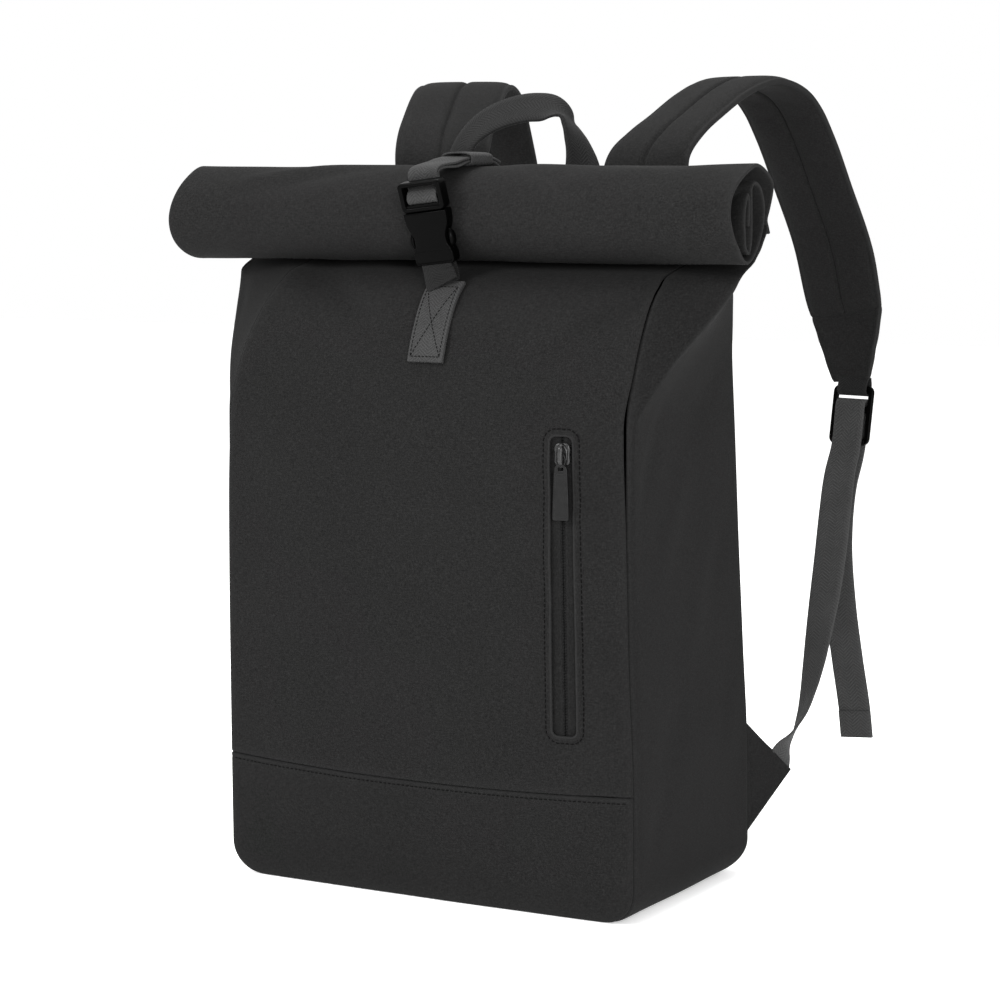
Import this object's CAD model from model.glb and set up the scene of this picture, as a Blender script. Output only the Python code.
import math

import bmesh
import bpy
import numpy as np
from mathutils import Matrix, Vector
from mathutils.bvhtree import BVHTree


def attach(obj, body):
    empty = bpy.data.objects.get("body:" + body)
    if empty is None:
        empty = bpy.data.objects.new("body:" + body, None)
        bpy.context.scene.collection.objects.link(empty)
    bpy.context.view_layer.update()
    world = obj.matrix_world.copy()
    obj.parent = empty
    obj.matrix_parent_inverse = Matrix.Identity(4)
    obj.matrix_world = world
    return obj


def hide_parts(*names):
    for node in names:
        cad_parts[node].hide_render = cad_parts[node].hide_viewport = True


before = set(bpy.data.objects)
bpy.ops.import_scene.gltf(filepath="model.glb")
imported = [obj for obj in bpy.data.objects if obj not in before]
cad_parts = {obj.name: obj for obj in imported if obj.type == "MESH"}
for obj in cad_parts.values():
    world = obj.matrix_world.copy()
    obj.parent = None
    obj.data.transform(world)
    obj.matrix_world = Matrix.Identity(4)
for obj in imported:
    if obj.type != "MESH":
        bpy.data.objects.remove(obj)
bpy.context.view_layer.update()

MM = 0.001

# Sizes in millimetres, the same as the frame's
BODY_WIDTH, BODY_DEPTH, BACK_HEIGHT, BASE_RADIUS = 300, 172, 388, 22
ROLL_LENGTH, ROLL_RADIUS, ROLL_FORWARD, ROLL_ABOVE, ROLL_LAYER, PINCH = 400, 31.5, 33, 47, 3.4, 0.975
WEB_THICK, FRONT_WEB, STRAP_WEB, CLEAR = 1.6, 21.5, 25, 0.4
STRAP_X, TAB_WIDTH, TAB_THICK, TAB_LENGTH = 5, 25.5, 3, 46
HALF_W, HALF_D = BODY_WIDTH / 2, BODY_DEPTH / 2
ROLL_Y, ROLL_Z = -ROLL_FORWARD, BACK_HEIGHT + ROLL_ABOVE
BUCKLE_Y, BUCKLE_LOW, BUCKLE_LEAN = ROLL_Y - ROLL_RADIUS - 6.5, ROLL_Z - 30, 16
TAB_TOP = BUCKLE_LOW - 16
TAB_LOW = TAB_TOP - TAB_LENGTH
FEMALE, MALE, BAR = 34, 19, 3
POCKET_X, POCKET_TOP, POCKET_LENGTH, SLOT = 104.4, 299.5, 188, 17
HANDLE_HALF, HANDLE_RISE, HANDLE_WIDTH, HANDLE_THICK, HANDLE_LEAN = 58, 124, 25, 2.4, 5
STRAP_FOOT, STRAP_SPLAY, STRAP_REACH, STRAP_RISE = 72, 75, 196, 136
PAD_WIDTH, PAD_THICK, STRAP_TURN, FOOT_DROP = 68, 11, 14, 5
END_THICK, END_LENGTH, END_WIDTH = 5, 45, 33
LOCK_WIDTH, LOCK_LENGTH, LOCK_THICK, LOCK_BAR, LOCK_LEAN = 34, 42, 3, 4.5, 9
UPPER_SLOT, MIDDLE_BAR, LOOP_LEG, LOCK_ASIDE = 10, 5, 6.5, 2.5
TAB_REACH, CORNER_LOW, CORNER_HIGH, CORNER_TURN, CORNER_THICK = 42, 27, 101, 75, 3.2
TAIL = 212

# How finely the visual model is made
SHEET_THICK, SAG = 1.2, 4
NEAR_EDGE = [0, 0.25, 0.6, 1.0, 1.5, 2.1]
EDGE = NEAR_EDGE + [2.9, 4.0, 5.6, 7.6, 10]
BASE_CURVE = BASE_RADIUS * (1 - np.cos(np.radians(np.arange(0, 90, 6))))


def vec(x, y, z):
    return np.array([x, y, z], float)


FORWARD = vec(0, 1, 0)


def unit(v):
    v = np.asarray(v, float)
    return v / np.maximum(np.linalg.norm(v, axis=-1, keepdims=True), 1e-12)


def lerp(a, b, t):
    return a + (b - a) * t


def cosd(degrees):
    return math.cos(math.radians(degrees))


def sind(degrees):
    return math.sin(math.radians(degrees))


def turned(degrees):
    return vec(cosd(degrees), sind(degrees), 0)


def soft_step(x):
    x = np.clip(x, 0, 1)
    return x * x * (3 - 2 * x)


def through(x, y, q, monotone=True):
    """A smooth curve through the rows y at x, read at q."""
    x, y, q = np.asarray(x, float), np.asarray(y, float), np.asarray(q, float)
    flat = y.ndim == 1
    y = y.reshape(len(x), -1)
    h = np.diff(x)[:, None]
    d = np.diff(y, axis=0) / h
    m = np.zeros_like(y)
    m[0], m[-1] = d[0], d[-1]
    if monotone:
        w1, w2 = 2 * h[1:] + h[:-1], h[1:] + 2 * h[:-1]
        same = d[:-1] * d[1:] > 0
        a, b = np.where(same, d[:-1], 1), np.where(same, d[1:], 1)
        m[1:-1] = np.where(same, (w1 + w2) / (w1 / a + w2 / b), 0)
    else:
        m[1:-1] = (d[:-1] * h[1:] + d[1:] * h[:-1]) / (h[1:] + h[:-1])
    i = np.clip(np.searchsorted(x, q, side="right") - 1, 0, len(x) - 2)
    t = ((q - x[i]) / h[i, 0])[:, None]
    hi = h[i]
    t2, t3 = t * t, t * t * t
    out = (
        (2 * t3 - 3 * t2 + 1) * y[i]
        + (t3 - 2 * t2 + t) * hi * m[i]
        + (3 * t2 - 2 * t3) * y[i + 1]
        + (t3 - t2) * hi * m[i + 1]
    )
    return out[:, 0] if flat else out


def soft_dents(a, b, rows):
    """Soft ridges and hollows in a plane: middle, turn in degrees, half length, half width, rise."""
    total = np.zeros(np.broadcast(a, b).shape)
    for ca, cb, turn, long, wide, rise in rows:
        p = (a - ca) * cosd(turn) + (b - cb) * sind(turn)
        q = (b - cb) * cosd(turn) - (a - ca) * sind(turn)
        total = total + rise * np.exp(-((p / long) ** 2) - (q / wide) ** 2)
    return total


def wobble(a, b, size, seed):
    """A smooth, low wave over a plane, about 1 high; size is its length in millimetres."""
    rng = np.random.default_rng(seed)
    total = np.zeros(np.broadcast(a, b).shape)
    for _ in range(7):
        turn, phase = rng.uniform(0, math.pi), rng.uniform(0, 2 * math.pi)
        k = 2 * math.pi / (size * rng.uniform(0.7, 1.5))
        total = total + np.sin(k * (a * math.cos(turn) + b * math.sin(turn)) + phase)
    return total / 4


# Meshes


def piece(
    name, points, faces, material, body="pack", slot="fabric", replaces=(), uv=None, wear=None, sharp=40,
):
    """A closed shell with its faces turned outward. uv and points are in millimetres, wear from 0 to 1."""
    points = np.asarray(points, float)
    used = np.unique(np.concatenate([np.asarray(f).ravel() for f in faces]))
    index = np.full(len(points), -1)
    index[used] = np.arange(len(used))
    points = points[used]
    faces = [tuple(index[np.asarray(f)]) for f in faces]
    volume = 0.0
    for f in faces:
        a = points[f[0]]
        for j in range(1, len(f) - 1):
            volume += np.dot(a, np.cross(points[f[j]], points[f[j + 1]]))
    if volume < 0:
        faces = [f[::-1] for f in faces]
    mesh = bpy.data.meshes.new(name)
    mesh.from_pydata((points * MM).tolist(), [], faces)
    mesh.update()
    if uv is not None:
        layer = mesh.uv_layers.new(name="weave")
        corner = np.zeros(len(mesh.loops), np.int64)
        mesh.loops.foreach_get("vertex_index", corner)
        places = np.asarray(uv, float)[used][corner] * MM
        layer.uv.foreach_set("vector", places.astype(np.float32).ravel())
    shade = np.zeros(len(points)) if wear is None else np.asarray(wear, float)[used]
    mesh.attributes.new("wear", "FLOAT", "POINT").data.foreach_set("value", shade.astype(np.float32))
    mesh.shade_smooth()
    if sharp < 180:
        mesh.set_sharp_from_angle(angle=math.radians(sharp))
    mesh.materials.append(material)
    o = bpy.data.objects.new(name, mesh)
    bpy.context.scene.collection.objects.link(o)
    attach(o, body)
    if replaces:
        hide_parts(*replaces)
    return o


def shell_faces(rows, columns, mask=None):
    """Faces of a closed sheet: outer grid, inner grid and the walls round its edges and holes."""
    index = np.arange(rows * columns).reshape(rows, columns)
    keep = np.ones((rows - 1, columns - 1), bool) if mask is None else mask
    a, b = index[:-1, :-1][keep], index[:-1, 1:][keep]
    c, d = index[1:, 1:][keep], index[1:, :-1][keep]
    n = rows * columns
    start = np.concatenate([a, b, c, d])
    end = np.concatenate([b, c, d, a])
    edge = ~np.isin(start * n + end, end * n + start)
    s, e = start[edge], end[edge]
    return np.concatenate([
        np.stack([a, b, c, d], 1),
        np.stack([a, d, c, b], 1) + n,
        np.stack([e, s, s + n, e + n], 1),
    ])


def normals_of(grid):
    du = np.gradient(grid, axis=1)
    dv = np.gradient(grid, axis=0)
    return unit(np.cross(du, dv))


def arc(points):
    return np.concatenate([[0], np.cumsum(np.linalg.norm(np.diff(points, axis=0), axis=1))])


def flat_uv(x, z, start=200):
    return np.stack([x + start, z], -1)


def sheet(name, outer, inner, material, uv, wear=None, inner_wear=1, mask=None, sharp=50, **more):
    """A closed sheet between two grids of points."""
    flat = lambda g: g.reshape(-1, g.shape[-1])
    wear = np.zeros(outer.shape[:2]) if wear is None else wear
    return piece(
        name, np.concatenate([flat(outer), flat(inner)]), shell_faces(*outer.shape[:2], mask), material,
        uv=np.concatenate([flat(uv), flat(uv)]), sharp=sharp,
        wear=np.concatenate([wear.ravel(), wear.ravel() * inner_wear]), **more,
    )


def panel(name, outer, outward, uv, replaces, wear=None, mask=None):
    """A sewn panel of the body's cloth, from its outer face. outward is roughly the way out."""
    n = normals_of(outer)
    inner = outer - n * np.sign((n * outward).sum(-1).mean()) * SHEET_THICK
    return sheet(name, outer, inner, CLOTH, uv, wear, 0, mask, replaces=[replaces])


def tube_faces(rows, count, closed=False):
    """Faces round a tube of rings, with flat ends unless it closes on itself."""
    index = np.arange(rows * count).reshape(rows, count)
    rings = np.concatenate([index, index[:1]]) if closed else index
    after = np.roll(rings, -1, axis=1)
    faces = [tuple(f) for f in np.stack([rings[:-1], after[:-1], after[1:], rings[1:]], -1).reshape(-1, 4)]
    return faces if closed else faces + [tuple(index[0][::-1]), tuple(index[-1])]


def spans(points, step, least=2):
    """Places along a route, in units of its own points, about step millimetres apart."""
    lengths = np.linalg.norm(np.diff(points, axis=0), axis=1)
    q = [0.0]
    for i, length in enumerate(lengths):
        n = max(least, int(math.ceil(length / step)))
        q += [i + (k + 1) / n for k in range(n)]
    return np.array(q)


def fine_route(stations, step=2.0, least=2):
    """Stations with position, width direction and optional facing, as fine smooth arrays."""
    at = np.array([s[0] for s in stations], float)
    across = unit(np.array([s[1] for s in stations], float))
    knots = arc(at)
    q = np.interp(spans(at, step, least), np.arange(len(at)), knots)
    p = through(knots, at, q, monotone=False)
    a = unit(through(knots, across, q, monotone=False))
    t = unit(np.gradient(p, axis=0))
    if len(stations[0]) > 2 and stations[0][2] is not None:
        t[0] = unit(stations[0][2])
    a = unit(a - t * (a * t).sum(1, keepdims=True))
    return p, a, np.cross(t, a), q


def web_section(width, thick):
    """A webbing section: flat, with rounded edges."""
    w, t = width / 2, thick / 2
    u = np.linspace(-1, 1, 7) * (w - 0.5)
    edge = [(w - 0.12, t * 0.62), (w, 0.0), (w - 0.12, -t * 0.62)]
    return np.array([(x, t) for x in u] + edge + [(x, -t) for x in u[::-1]] + [(-x, -y) for x, y in edge])


def flipped(points, side):
    """The left strap mirrors the right one."""
    return points * np.array([-1, 1, 1]) if side == "left" else points


def strip(name, stations, width, thick, material, step=2.0, least=2, side="right", slot="webbing", **more):
    """Webbing along stations."""
    p, a, up, q = fine_route(stations, step, least)
    section = web_section(width, thick)
    rings = p[:, None] + a[:, None] * section[None, :, 0:1] + up[:, None] * section[None, :, 1:2]
    spread = lambda v: np.broadcast_to(v, rings.shape[:2])
    # The two faces lie apart in the weave's own plane
    across = spread(section[:, 0] + (section[:, 1] < 0) * 40)
    wear = spread((np.abs(section[:, 0]) > width / 2 - 0.8) * 0.5)
    return piece(
        name, flipped(rings.reshape(-1, 3), side), tube_faces(*rings.shape[:2]), material, slot=slot,
        uv=np.stack([across, spread(q[:, None])], -1).reshape(-1, 2), wear=wear.ravel(), sharp=60, **more,
    )


# Along each stitch: place, rise over the cloth in thread widths, and size
STITCH = np.array([(0, -0.35, 0.6), (0.18, 0.15, 1), (0.5, 0.32, 1.05), (0.82, 0.15, 1), (1, -0.35, 0.6)])


def stitches(name, lines, material, pitch=3.3, length=2.5, thick=0.55, rise=0.12, **more):
    """Rows of thread on cloth. Each line is points and normals; every stitch dips at both its ends."""
    ring = [(cosd(a), sind(a)) for a in range(0, 360, 60)]
    parts = []
    for at, normal in lines:
        at, normal = np.asarray(at, float), np.asarray(normal, float)
        s = arc(at)
        read = lambda q, rows: np.stack([np.interp(q, s, rows[:, i]) for i in range(3)], 1)
        count = max(1, int(s[-1] / pitch))
        gap = s[-1] / count
        for k in range(count):
            q = gap * k + (gap - length) / 2 + STITCH[:, 0] * length
            p, n = read(q, at), unit(read(q, normal))
            across = unit(np.cross(n, unit(p[-1] - p[0])))
            p = p + n * (STITCH[:, 1:2] * thick + rise)
            r = thick / 2 * STITCH[:, 2:3]
            rings = np.stack([p + across * (x * r) + n * (y * r * 0.8) for x, y in ring], 1)
            parts.append((rings.reshape(-1, 3), tube_faces(len(STITCH), len(ring))))
    points, faces = join(parts)
    return piece(name, points, faces, material, sharp=180, **more)


def surface(o):
    return BVHTree.FromObject(o, bpy.context.evaluated_depsgraph_get())


def on_cloth(tree, route):
    """A line of points laid onto a piece from in front of it, and the surface's normals there."""
    points, normals = [], []
    for p in route:
        at, n, _, _ = tree.ray_cast(Vector((p - FORWARD * 40) * MM), Vector(FORWARD), 160 * MM)
        if at is not None:
            points.append(np.array(at) / MM)
            normals.append(-np.array(n) if n[1] > 0 else np.array(n))
    return points, normals


def dense(points, step=1.5):
    points = np.asarray(points, float)
    s = arc(points)
    q = np.linspace(0, s[-1], max(2, int(s[-1] / step) + 1))
    return np.stack([np.interp(q, s, points[:, i]) for i in range(points.shape[1])], 1)


def plate_mesh(outline, holes, depth, bevel, y=0):
    """A rounded plate with holes, in local X and Z, with its middle at y. Returns its points and faces."""
    curve = bpy.data.curves.new("plate", "CURVE")
    curve.dimensions, curve.fill_mode = "2D", "BOTH"
    for loop in [outline, *holes]:
        spline = curve.splines.new("POLY")
        spline.points.add(len(loop) - 1)
        for p, (x, z) in zip(spline.points, loop):
            p.co = (x * MM, z * MM, 0, 1)
        spline.use_cyclic_u = True
    curve.extrude = (depth / 2 - bevel) * MM
    curve.bevel_depth, curve.bevel_resolution, curve.offset = bevel * MM, 3, -bevel * MM
    o = bpy.data.objects.new("plate", curve)
    bpy.context.scene.collection.objects.link(o)
    mesh = bpy.data.meshes.new_from_object(o.evaluated_get(bpy.context.evaluated_depsgraph_get()))
    work = bmesh.new()
    work.from_mesh(mesh)
    bmesh.ops.remove_doubles(work, verts=work.verts, dist=1e-6)
    points = np.array([v.co for v in work.verts]) / MM
    faces = [tuple(v.index for v in f.verts) for f in work.faces]
    work.free()
    bpy.data.objects.remove(o)
    bpy.data.curves.remove(curve)
    bpy.data.meshes.remove(mesh)
    return np.stack([points[:, 0], y - points[:, 2], points[:, 1]], 1), faces


def join(parts):
    points, faces, base = [], [], 0
    for p, f in parts:
        points.append(p)
        faces += [tuple(int(i) + base for i in face) for face in f]
        base += len(p)
    return np.concatenate(points), faces


def rod(start, end, radius, count=20, ends=0.35):
    """A round bar with softened ends."""
    start, end = np.asarray(start, float), np.asarray(end, float)
    t = unit(end - start)
    a = unit(np.cross(t, [0.3, 0.5, 0.81]))
    b = np.cross(t, a)
    length = np.linalg.norm(end - start)
    places = [(0, 1 - ends), (ends * radius * 0.4, 1 - ends * 0.3), (ends * radius, 1)]
    places += [(length - x, r) for x, r in places[::-1]]
    angle = np.linspace(0, 2 * math.pi, count, endpoint=False)
    circle = np.cos(angle)[:, None] * a + np.sin(angle)[:, None] * b
    rings = np.array([start + t * x + circle * radius * r for x, r in places])
    return rings.reshape(-1, 3), tube_faces(len(places), count)


def pipe(path, radius, count, up, closed=False, flat=1.0):
    """A round or flattened tube along points."""
    if closed:
        t = unit(np.roll(path, -1, axis=0) - np.roll(path, 1, axis=0))
    else:
        t = unit(np.gradient(path, axis=0))
    a = unit(np.cross(t, np.broadcast_to(up, path.shape)))
    b = np.cross(a, t)
    r = np.broadcast_to(np.asarray(radius, float).reshape(-1, 1, 1), (len(path), 1, 1))
    angle = np.linspace(0, 2 * math.pi, count, endpoint=False)[None, :, None]
    rings = path[:, None] + r * (np.cos(angle) * a[:, None] + flat * np.sin(angle) * b[:, None])
    return rings.reshape(-1, 3), tube_faces(len(path), count, closed)


class Place:
    """A local frame: X along across, Z as near to up as it can be."""

    def __init__(self, origin, across, up):
        self.origin = np.asarray(origin, float)
        self.x = unit(across)
        self.z = unit(np.asarray(up, float) - self.x * np.dot(up, self.x))
        self.y = np.cross(self.z, self.x)

    def at(self, x, y, z):
        return self.origin + self.x * x + self.y * y + self.z * z

    def all(self, points):
        return self.origin + points[:, 0:1] * self.x + points[:, 1:2] * self.y + points[:, 2:3] * self.z


# Materials


def grey(level):
    s = level / 255
    return s / 12.92 if s <= 0.04045 else ((s + 0.055) / 1.055) ** 2.4


class Nodes:
    """A material's nodes. Values are node outputs, numbers or colours."""

    def __init__(self, name):
        self.material = bpy.data.materials.new(name)
        self.material.use_nodes = True
        self.tree = self.material.node_tree
        self.shader = self.tree.nodes["Principled BSDF"]

    def node(self, kind, **settings):
        n = self.tree.nodes.new(kind)
        for k, v in settings.items():
            setattr(n, k, v)
        return n

    def feed(self, socket, value):
        if isinstance(value, bpy.types.NodeSocket):
            self.tree.links.new(value, socket)
        else:
            socket.default_value = (*value, 1) if isinstance(value, tuple) else value

    def math(self, operation, *values):
        n = self.node("ShaderNodeMath", operation=operation)
        for socket, value in zip(n.inputs, values):
            self.feed(socket, value)
        return n.outputs[0]

    def total(self, *terms, base=None):
        """The sum of values, each times its weight."""
        for value, weight in reversed(terms):
            add = () if base is None else (base,)
            base = self.math("MULTIPLY_ADD" if add else "MULTIPLY", value, weight, *add)
        return base

    def noise(self, scale, detail=2.0, rough=0.5, coords=None, distortion=0.0):
        n = self.node("ShaderNodeTexNoise")
        n.inputs["Scale"].default_value = scale
        n.inputs["Detail"].default_value = detail
        n.inputs["Roughness"].default_value = rough
        n.inputs["Distortion"].default_value = distortion
        if coords is None:
            coords = self.node("ShaderNodeTexCoord").outputs["Object"]
        self.feed(n.inputs["Vector"], coords)
        return n.outputs[0]

    def weave_coords(self):
        uv = self.node("ShaderNodeUVMap", uv_map="weave").outputs[0]
        split = self.node("ShaderNodeSeparateXYZ")
        self.feed(split.inputs[0], uv)
        return uv, split.outputs[0], split.outputs[1]

    def stretched(self, uv, x, y):
        n = self.node("ShaderNodeVectorMath", operation="MULTIPLY")
        self.feed(n.inputs[0], uv)
        n.inputs[1].default_value = (x, y, 1)
        return n.outputs[0]

    def wave(self, value, period):
        return self.math("SINE", self.math("MULTIPLY", value, 2 * math.pi / period))

    def colours(self, value, *stops):
        ramp = self.node("ShaderNodeValToRGB")
        elements = ramp.color_ramp.elements
        elements[0].position, elements[1].position = stops[0][0], stops[-1][0]
        for position, _ in stops[1:-1]:
            elements.new(position)
        for element, (_, colour) in zip(elements, stops):
            element.color = (*colour, 1)
        self.feed(ramp.inputs[0], value)
        return ramp.outputs[0]

    def worn(self, share, colour, paler):
        """A colour that turns paler where the piece's wear is high."""
        wear = self.node("ShaderNodeAttribute", attribute_name="wear").outputs["Fac"]
        n = self.node("ShaderNodeMix", data_type="RGBA")
        for socket, value in ((0, self.math("MULTIPLY", wear, share)), (6, colour), (7, paler)):
            self.feed(n.inputs[socket], value)
        return n.outputs[2]

    def bump(self, height, strength, distance, after=None):
        n = self.node("ShaderNodeBump")
        n.inputs["Strength"].default_value = strength
        n.inputs["Distance"].default_value = distance
        self.feed(n.inputs["Height"], height)
        if after is not None:
            self.feed(n.inputs["Normal"], after)
        return n.outputs[0]

    def finish(self, colour, roughness, normal=None, **constants):
        self.feed(self.shader.inputs["Base Color"], colour)
        self.feed(self.shader.inputs["Roughness"], roughness)
        if normal is not None:
            self.feed(self.shader.inputs["Normal"], normal)
        for k, v in constants.items():
            self.shader.inputs[k.replace("_", " ")].default_value = v
        return self.material


def shade(level, warm=0.0):
    """A near grey from its level on a screen, 0 to 255."""
    g = grey(level)
    return (g * (1 + warm), g, g * (1 - warm))


def fabric(name, level, pitch=0.75, grain=0.36, sheen=0.01):
    """Matt polyester: a fine plain weave with slubs, slow mottling, and paler folded edges."""
    m = Nodes(name)
    uv, u, v = m.weave_coords()
    threads = m.math("MULTIPLY", m.wave(u, pitch * MM), m.wave(v, pitch * MM))
    slubs = m.noise(1.0, 2.5, 0.6, m.stretched(uv, 260, 1500))
    slubs_up = m.noise(1.0, 2.5, 0.6, m.stretched(uv, 1500, 300))
    fine, slow = m.noise(900, 2, 0.6), m.noise(14, 3, 0.55)
    tone = m.total((threads, 0.06), (slubs, 0.3), (slubs_up, 0.2), (fine, 0.42), (slow, 0.06))
    low, middle, high = (shade(level * k, CLOTH_WARMTH) for k in (1 - grain, 1, 1 + grain))
    cloth = m.colours(tone, (0.36, low), (0.5, middle), (0.64, high))
    colour = m.worn(0.6, cloth, shade(level + FOLD_PALER))
    small = m.bump(m.total((threads, 0.5), (slubs, 1.2)), 0.35, 0.00012)
    normal = m.bump(m.noise(55, 3, 0.5), 0.16, 0.0012, small)
    rough = m.total((fine, 0.12), base=0.82)
    return m.finish(
        colour, rough, normal, Sheen_Weight=sheen, Sheen_Roughness=0.5, Specular_IOR_Level=0.04,
    )


def webbing(name, level, rib=2.1, column=6.2, contrast=0.3):
    """Herringbone webbing: diagonal ribs that turn back at each column, with slight shine."""
    m = Nodes(name)
    uv, u, v = m.weave_coords()
    bend = m.math("PINGPONG", m.math("ADD", u, 0.2), column * MM)
    ribs = m.wave(m.math("ADD", v, m.math("MULTIPLY", bend, 0.85)), rib * MM)
    yarn = m.wave(u, 0.8 * MM)
    fine, slow = m.noise(1400, 2, 0.6), m.noise(40, 2, 0.5)
    height = m.total((ribs, 0.75), (yarn, 0.25))
    tone = m.total((height, 0.13), (fine, 0.7), (slow, 0.2), base=0.05)
    low, middle, high = (shade(level * k) for k in (1 - contrast, 1, 1 + contrast))
    colour = m.worn(0.5, m.colours(tone, (0.25, low), (0.5, middle), (0.78, high)), high)
    normal = m.bump(m.total((fine, 0.35), base=height), 0.5, 0.00028)
    rough = m.total((fine, 0.15), base=0.62)
    return m.finish(
        colour, rough, normal, Sheen_Weight=0.02, Sheen_Roughness=0.4, Specular_IOR_Level=0.06,
    )


def plastic(name, level, rough=0.3):
    """Moulded acetal: near black, with a fine spark-eroded grain and small scuffs."""
    m = Nodes(name)
    fine, scuffs = m.noise(2600, 2, 0.5), m.noise(180, 4, 0.7, distortion=1.5)
    low, middle, high = (shade(level * k) for k in (0.75, 1, 1.35))
    colour = m.colours(m.total((scuffs, 0.7), (fine, 0.3)), (0.3, low), (0.5, middle), (0.72, high))
    roughness = m.total((scuffs, 0.22), base=rough - 0.1)
    return m.finish(colour, roughness, m.bump(fine, 0.12, 0.00006), Specular_IOR_Level=0.03)


def metal(name, level, rough=0.32):
    """Gunmetal plating, with fine wear."""
    m = Nodes(name)
    fine, slow = m.noise(1800, 3, 0.6), m.noise(240, 3, 0.6)
    low, middle, high = (shade(level * k) for k in (0.8, 1, 1.2))
    colour = m.colours(m.total((fine, 0.5), (slow, 0.5)), (0.3, low), (0.5, middle), (0.7, high))
    roughness = m.total((slow, 0.25), base=rough - 0.1)
    return m.finish(colour, roughness, m.bump(fine, 0.1, 0.00005), Metallic=0.85)


CLOTH_WARMTH, FOLD_PALER = 0.006, 18
CLOTH = fabric("body_cloth", 23)
ROLL_CLOTH = fabric("roll_cloth", 25)
PAD_CLOTH = fabric("pad_cloth", 25, pitch=0.65)
BACK_CLOTH = fabric("back_cloth", 22, pitch=1.3)
WEB = webbing("front_webbing", 43)
TAPE = webbing("strap_webbing", 50, rib=2.4)
HANDLE_WEB = webbing("handle_webbing", 27, rib=2.4)
DARK_WEB = webbing("loop_webbing", 22)
THREAD = fabric("thread", 9, pitch=0.3, grain=0.1, sheen=0.0)
PLASTIC = plastic("buckle_plastic", 2)
ZIP_CLOTH = fabric("zip_tape_cloth", 21, pitch=0.5)
TEETH = plastic("zip_teeth", 22, 0.5)
METAL = metal("slider_metal", 52)
PULL = metal("puller_metal", 27, rough=0.42)

# Body: the same sections as the frame, joined by smooth curves

WALL = ["seamR", "seamL", "front", "bulge", "ridgeR", "ridgeL", "ridgeY", "rear", "rearX"]
BASE = [0.995, 0.995, 0.985, 0.02, 1, 1, -0.86, 1.02, 1]
SECTIONS = [
    [0.21, 0.995, 0.995, 0.994, 0.07, 1, 1, -0.86, 1, 1],
    [0.41, 0.975, 0.995, 1, 0.1, 0.985, 1, -0.88, 0.93, 0.99],
    [0.62, 0.962, 0.99, 1.01, 0.115, 0.975, 0.995, -0.92, 0.84, 0.985],
    [0.79, 0.952, 0.97, 1.02, 0.1, 0.985, 0.99, -0.96, 0.76, 0.985],
    [0.88, 0.98, 0.935, 0.965, 0.08, 1.07, 1.084, -0.7, 0.71, 0.985],
    [0.956, 0.995, 0.88, 0.85, 0.06, 1.177, 1.166, -0.41, 0.68, 0.99],
    [1, 1.001, 0.84, 0.72, 0.04, 1.232, 1.205, -0.26, 0.66, 0.99],
]
NECK = [
    [0.1, 1, 0.833, 0.65, 0.03, 1.243, 1.213, -0.23, 0.6, 0.99],
    [0.21, 0.99, 0.835, 0.54, 0.02, 1.247, 1.235, -0.16, 0.535, 0.99],
    [0.29, 0.985, 0.84, 0.36, 0.01, 1.238, 1.25, -0.03, 0.485, 1],
    [0.4, 0.985, 0.84, 0.12, 0, 1.235, 1.26, 0.12, 0.41, 1.02],
    [0.58, 0.99, 0.86, -0.02, 0, 1.25, 1.27, 0.18, 0.3, 1.05],
    [0.79, 1, 0.88, -0.08, 0, 1.283, 1.29, 0.15, 0.17, 1.08],
]
WALL_Z = [BASE_RADIUS] + [r[0] * BACK_HEIGHT for r in SECTIONS]
WALL_Z += [BACK_HEIGHT + r[0] * ROLL_ABOVE for r in NECK]
WALL_ROWS = np.array([BASE] + [r[1:] for r in SECTIONS] + [r[1:] for r in NECK])
BAND_Z = SECTIONS[0][0] * BACK_HEIGHT
TOP_Z = WALL_Z[-1]
LAP = 4.5


def body_rows(z):
    """Sizes of the body at each height, in millimetres."""
    z = np.asarray(z, float)
    rows = through(WALL_Z, WALL_ROWS, np.clip(z, BASE_RADIUS, TOP_Z))
    share = np.clip(1 - z / BASE_RADIUS, 0, 1)
    inset = BASE_RADIUS * (1 - np.sqrt(np.clip(1 - share**2, 0, 1)))
    r = dict(zip(WALL, rows.T))
    return {
        "z": z,
        "right": r["seamR"] * HALF_W - inset,
        "left": -r["seamL"] * HALF_W + inset,
        "front": -r["front"] * HALF_D + inset / 4,
        "bulge": r["bulge"] * HALF_D,
        "ridgeR": r["ridgeR"] * HALF_W - inset,
        "ridgeL": -r["ridgeL"] * HALF_W + inset,
        "ridgeY": r["ridgeY"] * HALF_D,
        "rear": r["rear"] * HALF_D - inset,
        "rearX": r["rearX"] * HALF_W - inset,
    }


def edge_roll(d, radius, depth):
    """How far a sewn edge turns in at a distance from its seam."""
    s = np.clip(1 - d / radius, 0, 1)
    return depth * (1 - np.sqrt(np.clip(1 - s * s, 0, 1)))


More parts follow.
